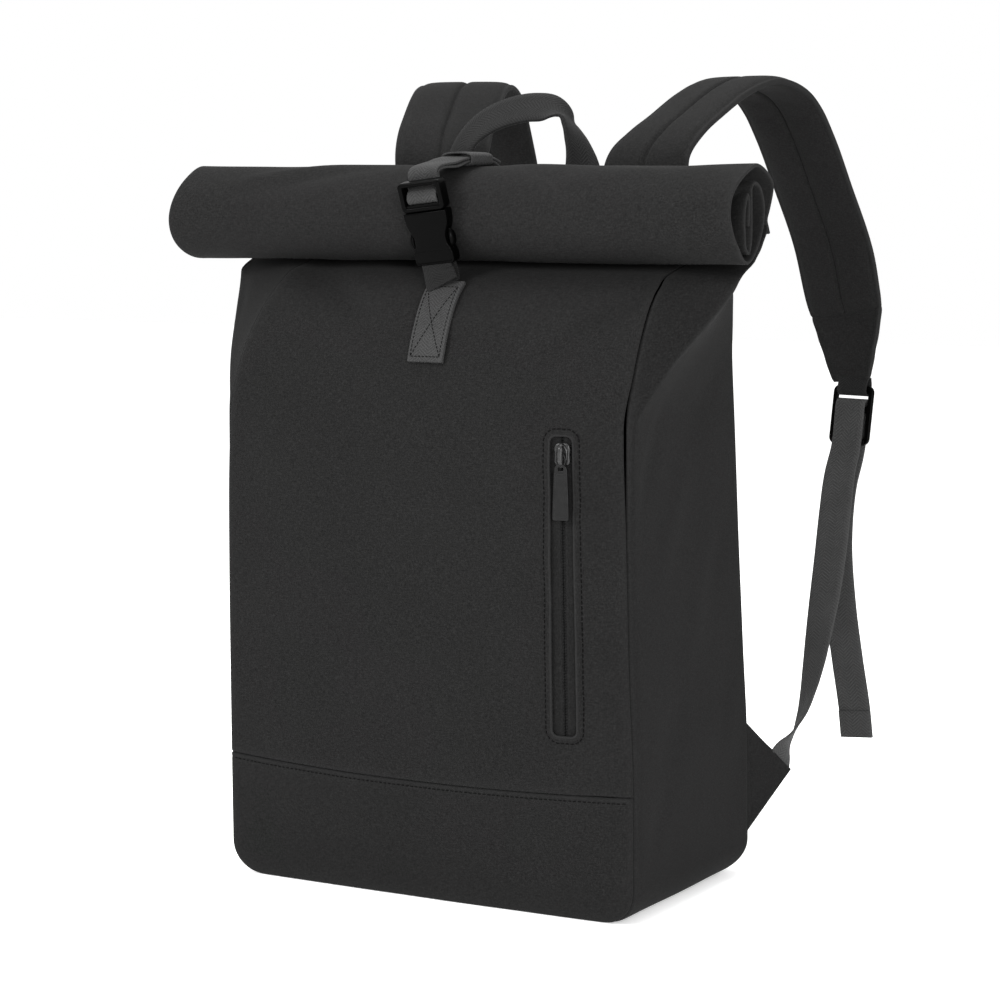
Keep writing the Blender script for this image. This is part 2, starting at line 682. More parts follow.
# Dents: middle across and up, turn in degrees, half length, half width, rise
FRONT_DENTS = [
    (-100, 396, -30, 22, 9, -8.0), (-68, 382, -40, 26, 8, -5.5),
    (-48, 366, -46, 24, 8, -1.6), (-98, 372, -50, 26, 8, 1.0),
    (130, 379, 38, 34, 8, -4.6), (104, 357, 38, 26, 8, -1.6), (112, 384, 42, 24, 7, 1.4),
    (127, 264, 8, 13, 5.5, -1.5), (130, 253, 6, 12, 5, 2.0), (132, 236, 2, 13, 6, -2.2),
    (134, 217, 4, 13, 5.5, -0.6), (135, 190, 4, 12, 5.5, 2.1), (134, 172, -2, 13, 6.5, -2.0),
    (136, 151, 4, 12, 5.5, 1.8), (135, 137, 0, 13, 6, -1.9), (136, 124, 2, 12, 5, 1.7),
    (78, 278, 22, 24, 6, 0.9), (84, 261, 20, 22, 6, -0.8),
    (74, 223, 14, 26, 7, 0.8), (73, 197, 12, 24, 7, -0.8),
    (46, 377, 16, 32, 6, 2.0), (62, 364, 12, 38, 6, -2.0),
    (89, 371, 14, 26, 6, 1.0), (70, 350, 12, 36, 7, 0.7),
    (-28, 366, -16, 26, 7, -0.9), (-40, 346, -14, 32, 8, 0.8),
    (-70, 240, 12, 60, 18, 0.5), (-96, 160, -20, 50, 16, -0.5),
    (-110, 300, 70, 50, 12, 0.7), (132, 84, 30, 16, 6, -0.8), (120, 96, 40, 16, 6, 0.8),
]
BAND_DENTS = [
    (132, 76, 25, 18, 5, 0.9), (146, 46, 40, 22, 7, -0.9), (60, 40, 6, 60, 12, 0.5),
    (-60, 44, -5, 60, 12, -0.5), (-130, 50, 80, 24, 7, 0.8), (10, 66, 2, 70, 6, -0.5),
]


def front_grid(z, x_share, dents, sag_low):
    """The front at each height and share of its width, with its low or its high edge sagging."""
    r = {k: v[:, None] for k, v in body_rows(z).items()}
    u = x_share[None, :]
    x = lerp(r["left"], r["right"], (u + 1) / 2)
    y = r["front"] - r["bulge"] * (1 - np.abs(u) ** 2.2)
    side = (1 - np.abs(u)) * (r["right"] - r["left"]) / 2
    y = y + edge_roll(side, 7.5, 3.6)
    up = (r["z"] - z[0]) / (z[-1] - z[0])
    zz = r["z"] - SAG * (1 - u * u) * (1 - up if sag_low else up) ** 2
    rise = soft_dents(x, zz, dents) + 0.35 * wobble(x, zz, 80, 5) + 0.05 * wobble(x, zz, 24, 8)
    y = y - soft_step(side / 10) * rise
    return np.stack([x, y, zz], -1), side


def edge_shares(width, fine, step):
    """Shares from -1 to 1, close together at both ends."""
    near = np.array(fine)
    middle = np.linspace(near[-1], width - near[-1], max(2, int((width - 2 * near[-1]) / step)))
    d = np.concatenate([near, middle[1:-1], width - near[::-1]])
    return 2 * d / width - 1


def turn_in(grid, distance, outward=(0, -1, 0)):
    """Turns a panel's edges in along the seam."""
    n = normals_of(grid)
    n = n * np.sign((n * np.asarray(outward)).sum(-1).mean())
    return grid - n * edge_roll(distance, 1.5, 2.3)[..., None]


# The pocket's slot, with its half widths at its low and high end
SLOT_LOW, SLOT_HIGH = POCKET_TOP - POCKET_LENGTH + 5, POCKET_TOP + 2.4
SLOT_HALF, SLOT_CORNER = (8.2, 7.3), 4


def slot_mid(z):
    """The middle of the pocket's slot leans a little to the right going down."""
    return lerp(POCKET_X + 0.2, POCKET_X - 1.5, (z - SLOT_LOW) / (SLOT_HIGH - SLOT_LOW))


def slot_away(x, z):
    """How far a place on the front is from the slot's edge; below zero is inside it."""
    half = lerp(*SLOT_HALF, np.clip((z - SLOT_LOW) / (SLOT_HIGH - SLOT_LOW), 0, 1))
    a = np.abs(x - slot_mid(z)) - half + SLOT_CORNER
    b = np.abs(z - (SLOT_LOW + SLOT_HIGH) / 2) - (SLOT_HIGH - SLOT_LOW) / 2 + SLOT_CORNER
    return np.hypot(np.maximum(a, 0), np.maximum(b, 0)) + np.minimum(np.maximum(a, b), 0) - SLOT_CORNER


def bell(x, width):
    return np.exp(-((x / width) ** 2))


def front_panel():
    """The main front, closely divided round the slot, which is left open."""
    xs = edge_shares(BODY_WIDTH, EDGE, 3.0)
    inside = (POCKET_X + np.linspace(-16, 16, 41)) / HALF_W
    outside = xs[(xs < inside[0] - 0.008) | (xs > inside[-1] + 0.008)]
    xs = np.unique(np.round(np.concatenate([outside, inside]), 5))
    zs = np.concatenate([
        BAND_Z + np.array(NEAR_EDGE + [3.0, 4.4]), np.arange(BAND_Z + 7, BACK_HEIGHT, 3.0),
        np.arange(BACK_HEIGHT, TOP_Z + LAP, 1.6),
    ])
    for end in (SLOT_LOW, SLOT_HIGH):
        close = end + np.arange(-8.1, 8.2, 0.9)
        zs = np.concatenate([zs[(zs < close[0] - 1) | (zs > close[-1] + 1)], close])
    zs = np.unique(zs)
    grid, side = front_grid(zs, xs, FRONT_DENTS, True)
    edge = np.minimum(side, (zs - BAND_Z)[:, None])
    # The cloth stands a little proud round the pocket and dips to the zip
    x, z = grid[..., 0].copy(), grid[..., 2].copy()
    away = slot_away(x, z)
    grid[..., 1] += -0.9 * bell(away - 2.0, 2.0) + 0.6 * bell(away - 4.6, 0.9) + 0.35 * bell(away - 9.0, 3.5)
    grid = turn_in(grid, edge)
    # Points near the slot's outline move onto it
    near = np.abs(away) < 0.6
    gx = (slot_away(x + 0.05, z) - slot_away(x - 0.05, z)) * 10
    gz = (slot_away(x, z + 0.05) - slot_away(x, z - 0.05)) * 10
    grid[..., 0] -= np.where(near, away * gx, 0)
    grid[..., 2] -= np.where(near, away * gz, 0)
    ring = slot_away(grid[..., 0], grid[..., 2])
    centre = (ring[:-1, :-1] + ring[1:, :-1] + ring[:-1, 1:] + ring[1:, 1:]) / 4
    wear = np.exp(-edge / 2.5) * 0.35 + 0.5 * bell(np.maximum(away, 0), 1.2)
    uv = flat_uv(grid[..., 0], grid[..., 2])
    return panel("front_panel_cloth", grid, (0, -1, 0), uv, "front_panel", wear, centre > -0.05)


def front_band():
    high = BAND_Z - np.array(NEAR_EDGE + [3.0, 4.4])[::-1]
    zs = np.concatenate([BASE_CURVE, np.arange(BASE_RADIUS, BAND_Z - 6, 3.0), high])
    grid, side = front_grid(zs, edge_shares(BODY_WIDTH, EDGE, 3.2), BAND_DENTS, False)
    above = (BAND_Z - zs)[:, None]
    grid[..., 1] += 0.45 * bell(above - 3.4, 0.8)
    edge, low = np.minimum(side, above), zs[:, None] + 0.4
    grid = turn_in(grid, np.minimum(edge, low * 1.5))
    wear = np.exp(-edge / 2.5) * 0.4 + 0.5 * np.exp(-low / 5)
    uv = flat_uv(grid[..., 0], grid[..., 2])
    return panel("front_band_cloth", grid, (0, -1, 0), uv, "front_band", wear)


SIDE_DENTS = [
    (-54, 291, 62, 30, 9, -1.0), (-24, 244, 60, 38, 12, 1.0),
    (36, 212, 58, 34, 12, -0.9), (6, 177, 62, 36, 13, 0.9),
    (61, 116, 74, 38, 12, 0.8), (-30, 110, 60, 44, 14, -0.6),
    (20, 322, 48, 44, 12, -0.8), (-50, 60, 50, 30, 11, -0.5),
]
GUSSET_DENTS = [
    (-40, 372, 50, 30, 6, -1.2), (-56, 352, 58, 26, 5, 0.8), (-30, 392, 48, 24, 6, 1.0),
]


def side_row(z, seam, ridge, rear):
    """A side's plan at one height: from the front seam, round the ridge, to the back."""
    radius = min(lerp(7.0, 2.2, soft_step((z - 285) / 55)), np.linalg.norm(ridge - seam) * 0.49)
    a = ridge + unit(seam - ridge) * radius
    b = ridge + unit(rear - ridge) * radius
    length, back = np.linalg.norm(a - seam), np.linalg.norm(rear - b)
    close = np.array(NEAR_EDGE + [2.9]) / 3.6 * min(3.6, length * 0.6)
    gusset = np.concatenate([close, np.linspace(close[-1], length, 14)[1:]])
    t = np.linspace(0, 1, 9)[1:-1, None]
    side = np.concatenate([np.linspace(0, back - 10, 44), back - np.array(EDGE[:-1])[::-1]])
    return np.concatenate([
        seam + unit(a - seam) * gusset[:, None],
        (1 - t) ** 2 * a + 2 * t * (1 - t) * ridge + t * t * b,
        b + unit(rear - b) * side[:, None],
    ])


RIDGE_COLUMN = 23


def side_panel(sign, name):
    """A side, with the gusset in front of its ridge."""
    zs = np.concatenate([
        BASE_CURVE, np.arange(BASE_RADIUS, BACK_HEIGHT, 3.0), np.arange(BACK_HEIGHT, TOP_Z + LAP, 1.5),
    ])
    r = body_rows(zs)
    seams = np.stack([r[name], r["front"] + 3.4], 1)
    ridges = np.stack([r["ridgeR" if sign > 0 else "ridgeL"], r["ridgeY"]], 1)
    rears = np.stack([sign * r["rearX"], r["rear"]], 1)
    plan = np.array([side_row(*row) for row in zip(zs, seams, ridges, rears)])
    grid = np.concatenate([plan, np.broadcast_to(zs[:, None, None], (*plan.shape[:2], 1))], -1)
    steps = np.linalg.norm(np.diff(plan, axis=1), axis=2)
    along = np.concatenate([np.zeros((len(zs), 1)), np.cumsum(steps, axis=1)], 1)
    to_rear = along[:, -1:] - along
    past = along - along[:, RIDGE_COLUMN:RIDGE_COLUMN + 1]
    n = normals_of(grid)
    n = n * np.sign(n[..., 0].mean()) * sign
    y, z = grid[..., 1], grid[..., 2]
    rise = soft_step((past - 4) / 14) * (soft_dents(y, z, SIDE_DENTS) + 0.35 * wobble(y, z, 90, 21))
    # The side is slack: it draws in between the ridge and the back
    slack = soft_step((z - 180) / 140) * (1 - soft_step((z - 400) / 30))
    span = np.clip(past / np.maximum(past[:, -1:], 1), 0, 1)
    rise = rise - 3.4 * slack * np.sin(math.pi * span) ** 1.4
    before = (1 - soft_step((past + 12) / 8)) * soft_step((z - 310) / 20)
    rise = rise + before * soft_dents(y, z, GUSSET_DENTS)
    fade = soft_step(along / 9) * soft_step(to_rear / 9)
    grid = grid + n * (fade * rise)[..., None]
    # Round the rear corner, and turn both long edges in
    grid[..., 0] -= sign * edge_roll(to_rear, 7.0, 3.2)
    edge, low = np.minimum(along, to_rear), z + 0.4
    grid = turn_in(grid, np.minimum(edge, low * 1.5), outward=(sign, 0, 0))
    grid[..., 2] = np.maximum(grid[..., 2], 0.02)
    fold = bell(past, 1.8) * soft_step((z - 320) / 40)
    wear = np.clip(0.9 * fold + 0.35 * np.exp(-edge / 2.5) + 0.5 * np.exp(-low / 5), 0, 1)
    uv = flat_uv(along, z, 600)
    return panel(f"side_cloth_{name}", grid, (sign, 0, 0), uv, f"side_panel_{name}", wear)


def back_panel():
    """The padded back: crowned between its edges, with a stitched border and two channels."""
    border = NEAR_EDGE + [3, 4.2, 5.8, 7.6, 9.4, 11, 12.6, 14.5, 17]
    width, top = 146, BACK_HEIGHT - 0.6
    xs = edge_shares(2.0, np.array(border) / width, 4.2 / width)
    zs = np.concatenate([BASE_CURVE, np.arange(BASE_RADIUS, 366, 4.0), top - np.array(border[::-1])])
    r = body_rows(np.unique(zs))
    half, rear = (r["rearX"] - 2.4)[:, None], r["rear"][:, None]
    x, z = half * xs[None, :], np.broadcast_to(r["z"][:, None], (len(half), len(xs))).copy()
    edge = np.minimum(half * (1 - np.abs(xs[None, :])), np.minimum(top - z, (z + 0.4) * 1.4))
    y = rear - edge_roll(edge, 8, 4.5) - 2.2 * bell(edge - 10.5, 1.5)
    y = y + 0.3 * soft_step((edge - 10) / 12) * wobble(x, z, 60, 31)
    for channel in (-46, 46):
        y = y - soft_step((edge - 12) / 6) * 3.0 * bell(x - channel, 2.6)
    inner = np.stack([x, np.minimum(rear - 11.2, y - 3), z], -1)
    o = sheet(
        "back_padding", np.stack([x, y, z], -1), inner, BACK_CLOTH, flat_uv(x, z), 0.35 * np.exp(-edge / 3),
        replaces=["back_panel"],
    )


def rear_yoke():
    low = BACK_HEIGHT + 1.2
    zs = np.concatenate([low + np.array(NEAR_EDGE + [3]), np.arange(BACK_HEIGHT + 4.5, TOP_Z + LAP, 1.6)])
    xs = edge_shares(2.0, np.array(EDGE) / HALF_W, 4.0 / HALF_W)[None, :]
    r = {k: v[:, None] for k, v in body_rows(zs).items()}
    x, side = (r["rearX"] - 0.45) * xs, r["rearX"] * (1 - np.abs(xs))
    z = np.broadcast_to(r["z"], x.shape)
    y = r["rear"] + soft_step(side / 10) * (0.9 * wobble(x, z, 60, 41) - 0.5)
    grid = turn_in(np.stack([x, y, z], -1), np.minimum(side, z - low), outward=(0, 1, 0))
    panel("rear_yoke_cloth", grid, (0, 1, 0), flat_uv(grid[..., 0], grid[..., 2] * 1.2), "rear_yoke")


def base_panel():
    """The base: a flat sheet with a rounded outline and turned edges."""
    r = body_rows(np.array([0.0]))
    w, f, b = r["rearX"][0] - 0.6, r["front"][0] + 0.7, r["rear"][0] - 0.7
    v, u = np.meshgrid(np.linspace(-1, 1, 44), np.linspace(-1, 1, 74), indexing="ij")
    u, v = (np.sign(k) * (1 - (1 - np.abs(k)) ** 1.6) for k in (u, v))
    x, y = u * w, lerp(f, b, (v + 1) / 2)
    edge = np.minimum(w - np.abs(x), np.minimum(y - f, b - y))
    z = edge_roll(edge, 2.4, 1.4) + 0.25 * (1 - soft_step(edge / 20)) + 0.02
    outer, inner = np.stack([x, y, z], -1), np.stack([x, y, z * 0 + 1.75], -1)
    sheet("base_cloth", outer, inner, CLOTH, flat_uv(x, y + 200), replaces=["base_panel"])


# Roll

WINDING = np.array([
    (-13.4, 1.638), (-8.5, 1.475), (2, 1.37), (14, 1.27), (36, 1.13),
    (60, 1.03), (90, 0.99), (120, 0.985), (150, 1.01), (180, 1.03),
    (208, 1), (236, 0.97), (264, 0.96), (292, 0.94), (320, 0.92), (350, 0.87), (380, 0.8), (412, 0.73),
    (444, 0.69), (476, 0.63), (508, 0.56), (540, 0.52), (572, 0.54), (604, 0.6), (636, 0.6), (668, 0.52),
    (706, 0.4), (746, 0.33), (786, 0.36),
])
# Along the roll, as shares of its half length: its size
ROLL_STATIONS = np.array([
    (-1, 1), (-0.72, 0.985), (-0.35, 1), (-0.09, PINCH), (0.13, PINCH), (0.4, 1), (0.75, 0.99), (1, 1),
])
# Dents in the roll: place along it, turn round it, then as for the front
ROLL_DENTS = [
    (-138, 128, -18, 26, 7, 0.9), (-108, 112, -16, 30, 7, 1.5), (-58, 98, -14, 34, 7, 1.2),
    (-84, 120, -20, 40, 8, -1.2), (-120, 142, -12, 36, 9, -0.9), (-68, 170, -30, 12, 8, 1.5),
    (-76, 184, -20, 16, 7, -1.1), (-40, 140, -60, 20, 7, -1.0), (-150, 170, 10, 34, 10, 0.9),
    (88, 172, 24, 16, 9, 1.5), (104, 186, 10, 26, 8, -1.0), (70, 128, 34, 22, 8, -1.1),
    (48, 120, 60, 20, 8, 1.0), (44, 160, 70, 18, 7, -1.2), (113, 128, -14, 28, 9, 0.9),
    (147, 142, 8, 30, 10, -0.9), (172, 170, -20, 22, 9, 1.0), (130, 96, 4, 40, 10, -0.8),
    (60, 92, 10, 30, 9, 0.9), (-60, 66, 6, 60, 9, 0.9), (80, 60, -6, 60, 9, -0.9),
]


def roll_radius(turn):
    """The spiral's outer face, from its free edge under the roll to its middle."""
    return ROLL_RADIUS * through(WINDING[:, 0], WINDING[:, 1], np.asarray(turn, float))


def roll_point(turn, off):
    r = float(roll_radius([turn])[0]) * PINCH + off
    return vec(0, ROLL_Y + r * cosd(turn), ROLL_Z + r * sind(turn))


# The right end, turn by turn: how far out it reaches, and its place
ROLL_END = np.array([
    (-13.4, 191.5, 16.0, 423.8), (-8.5, 191.5, 14.4, 427.0),
    (2, 191.5, 12.0, 432.0), (14, 193, 12.2, 438.8),
    (36, 196, 10.5, 450.6), (52, 198, 5.1, 455.6), (66, 200, -7.1, 461.0), (84, 200, -20.7, 465.5),
    (104, 200, -32.5, 462.7), (122, 200, -41.2, 459.1), (140, 200, -49.8, 454.2), (158, 200, -56.8, 448.2),
    (176, 200, -60.3, 441.1), (192, 200, -60.8, 434.5), (208, 200, -57.8, 427.3), (226, 200, -53.4, 420.6),
    (244, 200, -47.4, 414.5), (262, 200, -41.5, 408.9), (280, 200, -35.6, 406.7), (300, 200, -29.0, 408.6),
    (320, 200, -22.4, 414.0), (342, 200, -16.6, 421.3), (364, 200, -12.3, 429.8), (386, 200, -11.1, 439.6),
    (404, 200, -13.5, 446.9), (420, 200, -18.1, 452.4), (436, 200, -24.9, 454.9), (452, 200, -29.3, 452.4),
    (480, 200, -29.8, 443.9), (512, 200, -29.6, 434.8), (544, 200, -29.4, 425.1), (572, 200, -30.6, 416.6),
    (592, 200, -33.5, 412.4), (606, 200, -37.2, 414.9), (630, 200, -38.9, 422.8), (660, 200, -39.8, 431.9),
    (690, 200, -38.6, 441.0), (716, 200, -35.1, 447.6), (740, 200, -33.0, 443.4), (764, 200, -33.3, 434.9),
    (786, 200, -33.9, 428.8),
])


def roll():
    """The rolled mouth: one spiral, tidy in its middle and loose at its right end."""
    half_length = ROLL_LENGTH / 2
    turns = np.unique(np.concatenate([np.arange(-13.4, 250, 3.0), np.arange(250, 786.1, 4.0)]))
    radius = roll_radius(turns)
    near = np.array([0, 0.3, 0.8, 1.5, 2.6, 4.2, 6.5])
    middle = np.arange(9.5, ROLL_LENGTH - 9, 3.6)
    xs = np.concatenate([near, middle, ROLL_LENGTH - near[::-1]]) - half_length
    size = through(ROLL_STATIONS[:, 0] * half_length, ROLL_STATIONS[:, 1], xs)
    X, T = np.meshgrid(xs, turns, indexing="ij")
    # Dents are laid out on the spiral as if it were flat
    flatten = 0.55
    flat_rows = [(a, b * flatten, t, l, w * 0.8, h) for a, b, t, l, w, h in ROLL_DENTS]
    dent = soft_dents(X, T * flatten, flat_rows)
    waves = 0.45 * wobble(X, T * flatten, 80, 61) + 0.12 * wobble(X, T * flatten, 30, 62)
    outside, free = 1 - soft_step((T - 250) / 60), soft_step((T + 8.5) / 30)
    under_strap = bell(X - STRAP_X, 30)
    crumple = soft_step((T - 300) / 60) * (0.8 * wobble(X * 0.7, T * 0.4, 40, 63))
    r = radius[None, :] * size[:, None] + outside * free * (dent + waves) * (1 - 0.8 * under_strap) + crumple
    angle, r = np.radians(T), r - ROLL_LAYER / 2
    y, z = ROLL_Y + r * np.cos(angle), ROLL_Z + r * np.sin(angle)
    # Towards its right end the roll is loose: each layer goes to its own fold
    loose = soft_step((X - 158) / 42)
    reach, to_y, to_z = through(ROLL_END[:, 0], ROLL_END[:, 1:], turns, monotone=False).T
    y, z = lerp(y, to_y[None, :], loose), lerp(z, to_z[None, :], loose)
    x = X - loose * (half_length - reach[None, :]) * soft_step((X - 176) / 24)
    x = x - soft_step((-X - 150) / 50) * outside * (5 + 4 * np.cos(angle * 2 - 0.9))
    ty, tz = np.gradient(y, axis=1), np.gradient(z, axis=1)
    length = np.maximum(np.hypot(ty, tz), 1e-6)
    end = half_length - np.abs(X)
    half = (lerp(ROLL_LAYER, 2.2, loose) - 2 * edge_roll(end, 1.1, 0.8)) / 2
    off = np.stack([0 * x, tz / length * half, -ty / length * half], -1)
    middle = np.stack([x, y, z], -1)
    s = np.concatenate([[0], np.cumsum(np.radians(np.diff(turns)) * (radius[1:] + radius[:-1]) / 2)])
    uv = np.stack([X + 300, np.broadcast_to(s[None, :] + 500, X.shape)], -1)
    sheet(
        "roll_cloth", middle + off, middle - off, ROLL_CLOTH, uv, 0.5 * np.exp(-end / 1.6), sharp=55,
        replaces=["roll_top"],
    )


# Front straps and buckle

# The buckle leans along the front, is turned a little in its own plane, and tips forward at its top
BUCKLE_TURN, BUCKLE_TIP, BUCKLE_HALF = 6.5, 14, 28
BUCKLE_ACROSS = vec(cosd(BUCKLE_TURN), 0, sind(BUCKLE_TURN))
BUCKLE_MIDDLE = vec(
    STRAP_X - sind(BUCKLE_LEAN) * BUCKLE_HALF, BUCKLE_Y, BUCKLE_LOW + cosd(BUCKLE_LEAN) * BUCKLE_HALF,
)
BUCKLE = Place(
    BUCKLE_MIDDLE, BUCKLE_ACROSS,
    vec(-sind(BUCKLE_TURN), -math.tan(math.radians(BUCKLE_TIP)), cosd(BUCKLE_TURN)),
)
BUCKLE.origin = BUCKLE_MIDDLE - BUCKLE.z * BUCKLE_HALF
LEG_OFF = BAR / 2 + CLEAR + 0.1 + WEB_THICK / 2
MALE_LOW = FEMALE + CLEAR
MALE_HIGH = MALE_LOW + MALE
ROLL_BAR = MALE_LOW + 6.2
KEEPER_X, KEEPER_SKEW, KEEPER_LENGTH, KEEPER_THICK, KEEPER_ROOM = 3, 0.22, 20, 1.2, 5.4


def front_y(x, z):
    r = body_rows(np.array([z]))
    u = (x - r["left"][0]) / (r["right"][0] - r["left"][0]) * 2 - 1
    return r["front"][0] - r["bulge"][0] * (1 - abs(u) ** 2.2)


def off_front(x, z, off):
    slope = (front_y(x, z + 4) - front_y(x, z - 4)) / 8
    return vec(x, front_y(x, z) - off * math.hypot(1, slope), z)


TAB_X = STRAP_X + 1.4


def in_buckle(y, z):
    return BUCKLE.at(0, y, z), BUCKLE_ACROSS


def round_bar(hold, middle, radius, rise, angles):
    """Stations round a bar: hold puts a place across and up into its buckle or lock."""
    return [hold(cosd(a) * radius, middle + sind(a) * rise) for a in angles]


def tab():
    off = CLEAR + 0.3 + TAB_THICK / 2
    stations = [(off_front(TAB_X, z, off), (1, 0, 0)) for z in np.linspace(TAB_LOW + 1, TAB_TOP + 3.5, 9)]
    return strip("tab_webbing", stations, TAB_WIDTH, TAB_THICK, WEB, step=1.5, replaces=["strap_tab"])


def lower_web():
    start = off_front(TAB_X, TAB_TOP, CLEAR + 0.8 + TAB_THICK / 2) + vec(0, 0, CLEAR + 2)
    leg = lambda side: (start + vec(0, side * 1.1, 0), (1, 0, 0.1))
    wrap = round_bar(in_buckle, BAR / 2, LEG_OFF, LEG_OFF, (180, 150, 110, 70, 30, 0))
    stations = [leg(-1), in_buckle(-LEG_OFF, -4), *wrap, in_buckle(LEG_OFF, -4), leg(1)]
    strip("buckle_webbing", stations, FRONT_WEB, WEB_THICK, DARK_WEB, step=0.8, replaces=["buckle_web"])


ROLL_TOP_Z = float(roll_point(90, 0)[2])
LOWER_Z = ROLL_TOP_Z + 2.5 * CLEAR + KEEPER_THICK + WEB_THICK / 2
UPPER_Z = LOWER_Z + WEB_THICK + CLEAR
FLAT = KEEPER_LENGTH / 2 + 1


def strap_x(y):
    knots = [
        (BUCKLE_Y, BUCKLE.at(0, 0, MALE_HIGH)[0]), (ROLL_Y - FLAT, KEEPER_X - KEEPER_SKEW * FLAT),
        (ROLL_Y + FLAT, KEEPER_X + KEEPER_SKEW * FLAT), (HALF_D, 16),
    ]
    return float(np.interp(y, [k[0] for k in knots], [k[1] for k in knots]))


def top_strap():
    """From the back seam over the roll, round the buckle's bar, and back on itself under the keeper."""
    on = lambda y, z: (vec(strap_x(y), y, z), (1, 0, 0))
    off = CLEAR + 0.3 + WEB_THICK / 2
    seam = float(np.interp(BACK_HEIGHT + 3, WALL_Z, WALL_ROWS[:, 7])) * HALF_D
    shoulder = roll_point(40, off)
    bar = ROLL_BAR + BAR / 2
    near, far = ROLL_Y - FLAT, ROLL_Y + FLAT
    stations = [
        on(seam + off + 0.8, BACK_HEIGHT + 3 + off), on(shoulder[1], shoulder[2]),
        on(far + 4, LOWER_Z - 1.3), on(far, LOWER_Z), on(near, LOWER_Z), on(near - 8, LOWER_Z - 2.4),
        in_buckle(7.0, MALE_HIGH + 2), in_buckle(6.2, MALE_HIGH - 3), in_buckle(LEG_OFF + 1.4, bar + 4.5),
        *round_bar(in_buckle, bar, LEG_OFF, -LEG_OFF, range(0, 181, 30)),
        in_buckle(-LEG_OFF + 0.7, bar + 2.2), in_buckle(-0.2, bar + 4.3), in_buckle(2.6, bar + 6.4),
        in_buckle(4.7, MALE_HIGH - 2), in_buckle(5.0, MALE_HIGH + 3),
        on(near - 10, UPPER_Z - 2.2), on(near, UPPER_Z), on(far, UPPER_Z), on(far + 9, UPPER_Z - 2.6),
    ]
    strip("closing_strap", stations, FRONT_WEB, WEB_THICK, WEB, step=1.0, replaces=["top_strap"])


def keeper():
    """An arched loop that keeps the strap's free end."""
    width, height = FRONT_WEB + 2.8 + KEEPER_THICK, KEEPER_ROOM + KEEPER_THICK
    middle = vec(KEEPER_X, ROLL_Y, ROLL_TOP_Z + CLEAR + (height + KEEPER_THICK) / 2)
    place = Place(middle, vec(1, -KEEPER_SKEW, 0), vec(0, 0, 1))
    loop, squareness = [], 0.42
    for a in np.linspace(0, 2 * math.pi, 65)[:-1]:
        c, s = math.cos(a), math.sin(a)
        x = width / 2 * math.copysign(abs(c) ** squareness, c)
        z = height / 2 * math.copysign(abs(s) ** squareness, s)
        loop.append((x, z + 0.9 * max(s, 0) * math.cos(x / width * 2.8)))
    loop = np.array(loop)
    t = unit(np.roll(loop, -1, axis=0) - np.roll(loop, 1, axis=0))
    half, h = KEEPER_LENGTH / 2, KEEPER_THICK / 2
    crown = [(v, h + 0.15 * math.cos(v / half * 1.5)) for v in np.linspace(half - 2, -half + 2, 7)]
    edge = [(half - 0.35, -h), (half, -h / 2), (half, h / 2), (half - 0.35, h)]
    section = np.array([(-x, y) for x, y in edge[1::-1]] + edge + crown + [(-x, y) for x, y in edge[:1:-1]])
    points = [
        (x + tz * out, along, z - tx * out)
        for (x, z), (tx, tz) in zip(loop, t) for along, out in section
    ]
    uv = np.array([(along, s) for s in arc(loop) for along, _ in section])
    faces = tube_faces(len(loop), len(section), closed=True)
    piece(
        "keeper_loop", place.all(np.array(points)), faces, WEB, slot="webbing", uv=uv, sharp=60,
        replaces=["strap_keeper"],
    )


def rounded(w, h, r, n=8, z=0):
    """A rectangle with round corners, its middle at height z."""
    x, up = w / 2 - r, h / 2 - r
    corners = ((x, up, 0), (-x, up, 90), (-x, -up, 180), (x, -up, 270))
    turns = [90 * k / n for k in range(n + 1)]
    return [
        (cx + r * cosd(start + a), z + cz + r * sind(start + a))
        for cx, cz, start in corners for a in turns
    ]


def both_sides(knots, n=40):
    """An outline from its right side's half widths and heights."""
    widths, heights = np.array(knots, float).T
    q = np.linspace(heights[0], heights[-1], n)
    right = list(zip(through(heights, widths, q), q))
    return right + [(-x, z) for x, z in right[::-1]]


def buckle():
    window = FRONT_WEB + 2.8
    bar_at = lambda z: rod((-window / 2 - 0.6, 0, z), (window / 2 + 0.6, 0, z), BAR / 2)
    body = both_sides([
        (12.6, 0), (14, 1.4), (14.1, 6), (13.2, 9.5), (11.6, 13), (11.4, 17), (12.6, 20.5), (14.3, 24),
        (15.2, 28), (15.5, 33), (15.2, FEMALE),
    ])
    front = plate_mesh(body, [rounded(window, 5, 1.0, 4, 5.5)], 9, 1.1)
    skirt = plate_mesh(rounded(27.4, 9.4, 1.6, 5, 4.7), [], 2.6, 0.8, y=-3.2)
    points, faces = join([front, bar_at(BAR / 2), skirt])
    more = {"slot": "plastic", "sharp": 30}
    piece("buckle_body", BUCKLE.all(points), faces, PLASTIC, replaces=["buckle_female"], **more)

    mid = (MALE_LOW + MALE_HIGH) / 2
    opening = rounded(window, MALE - 2 * BAR, 1.2, 4, mid)
    frame_ring = plate_mesh(rounded(31, MALE, 3, 8, mid), [opening], 9, 1.2)
    low_bar = plate_mesh(rounded(window + 1, 4.4, 0.8, 3, MALE_LOW + 2.2), [], 7, 0.5)
    catches, arm = [], ((11.9, 9.4), (13.6, 11.6), (14.1, 15), (13.8, 18.4), (12.4, 21.4))
    for s in (-1, 1):
        path = dense([(s * x, 0, z) for x, z in arm], 0.7)
        full = np.sin(math.pi * np.linspace(0, 1, len(path))) ** 0.6
        catches.append(pipe(path, 0.55 + 1.5 * full, 14, (0, 1, 0), flat=1.5))
    points, faces = join([frame_ring, bar_at(ROLL_BAR + BAR / 2), low_bar, *catches])
    piece("buckle_tongue", BUCKLE.all(points), faces, PLASTIC, replaces=["buckle_male"], **more)


# Pocket zip

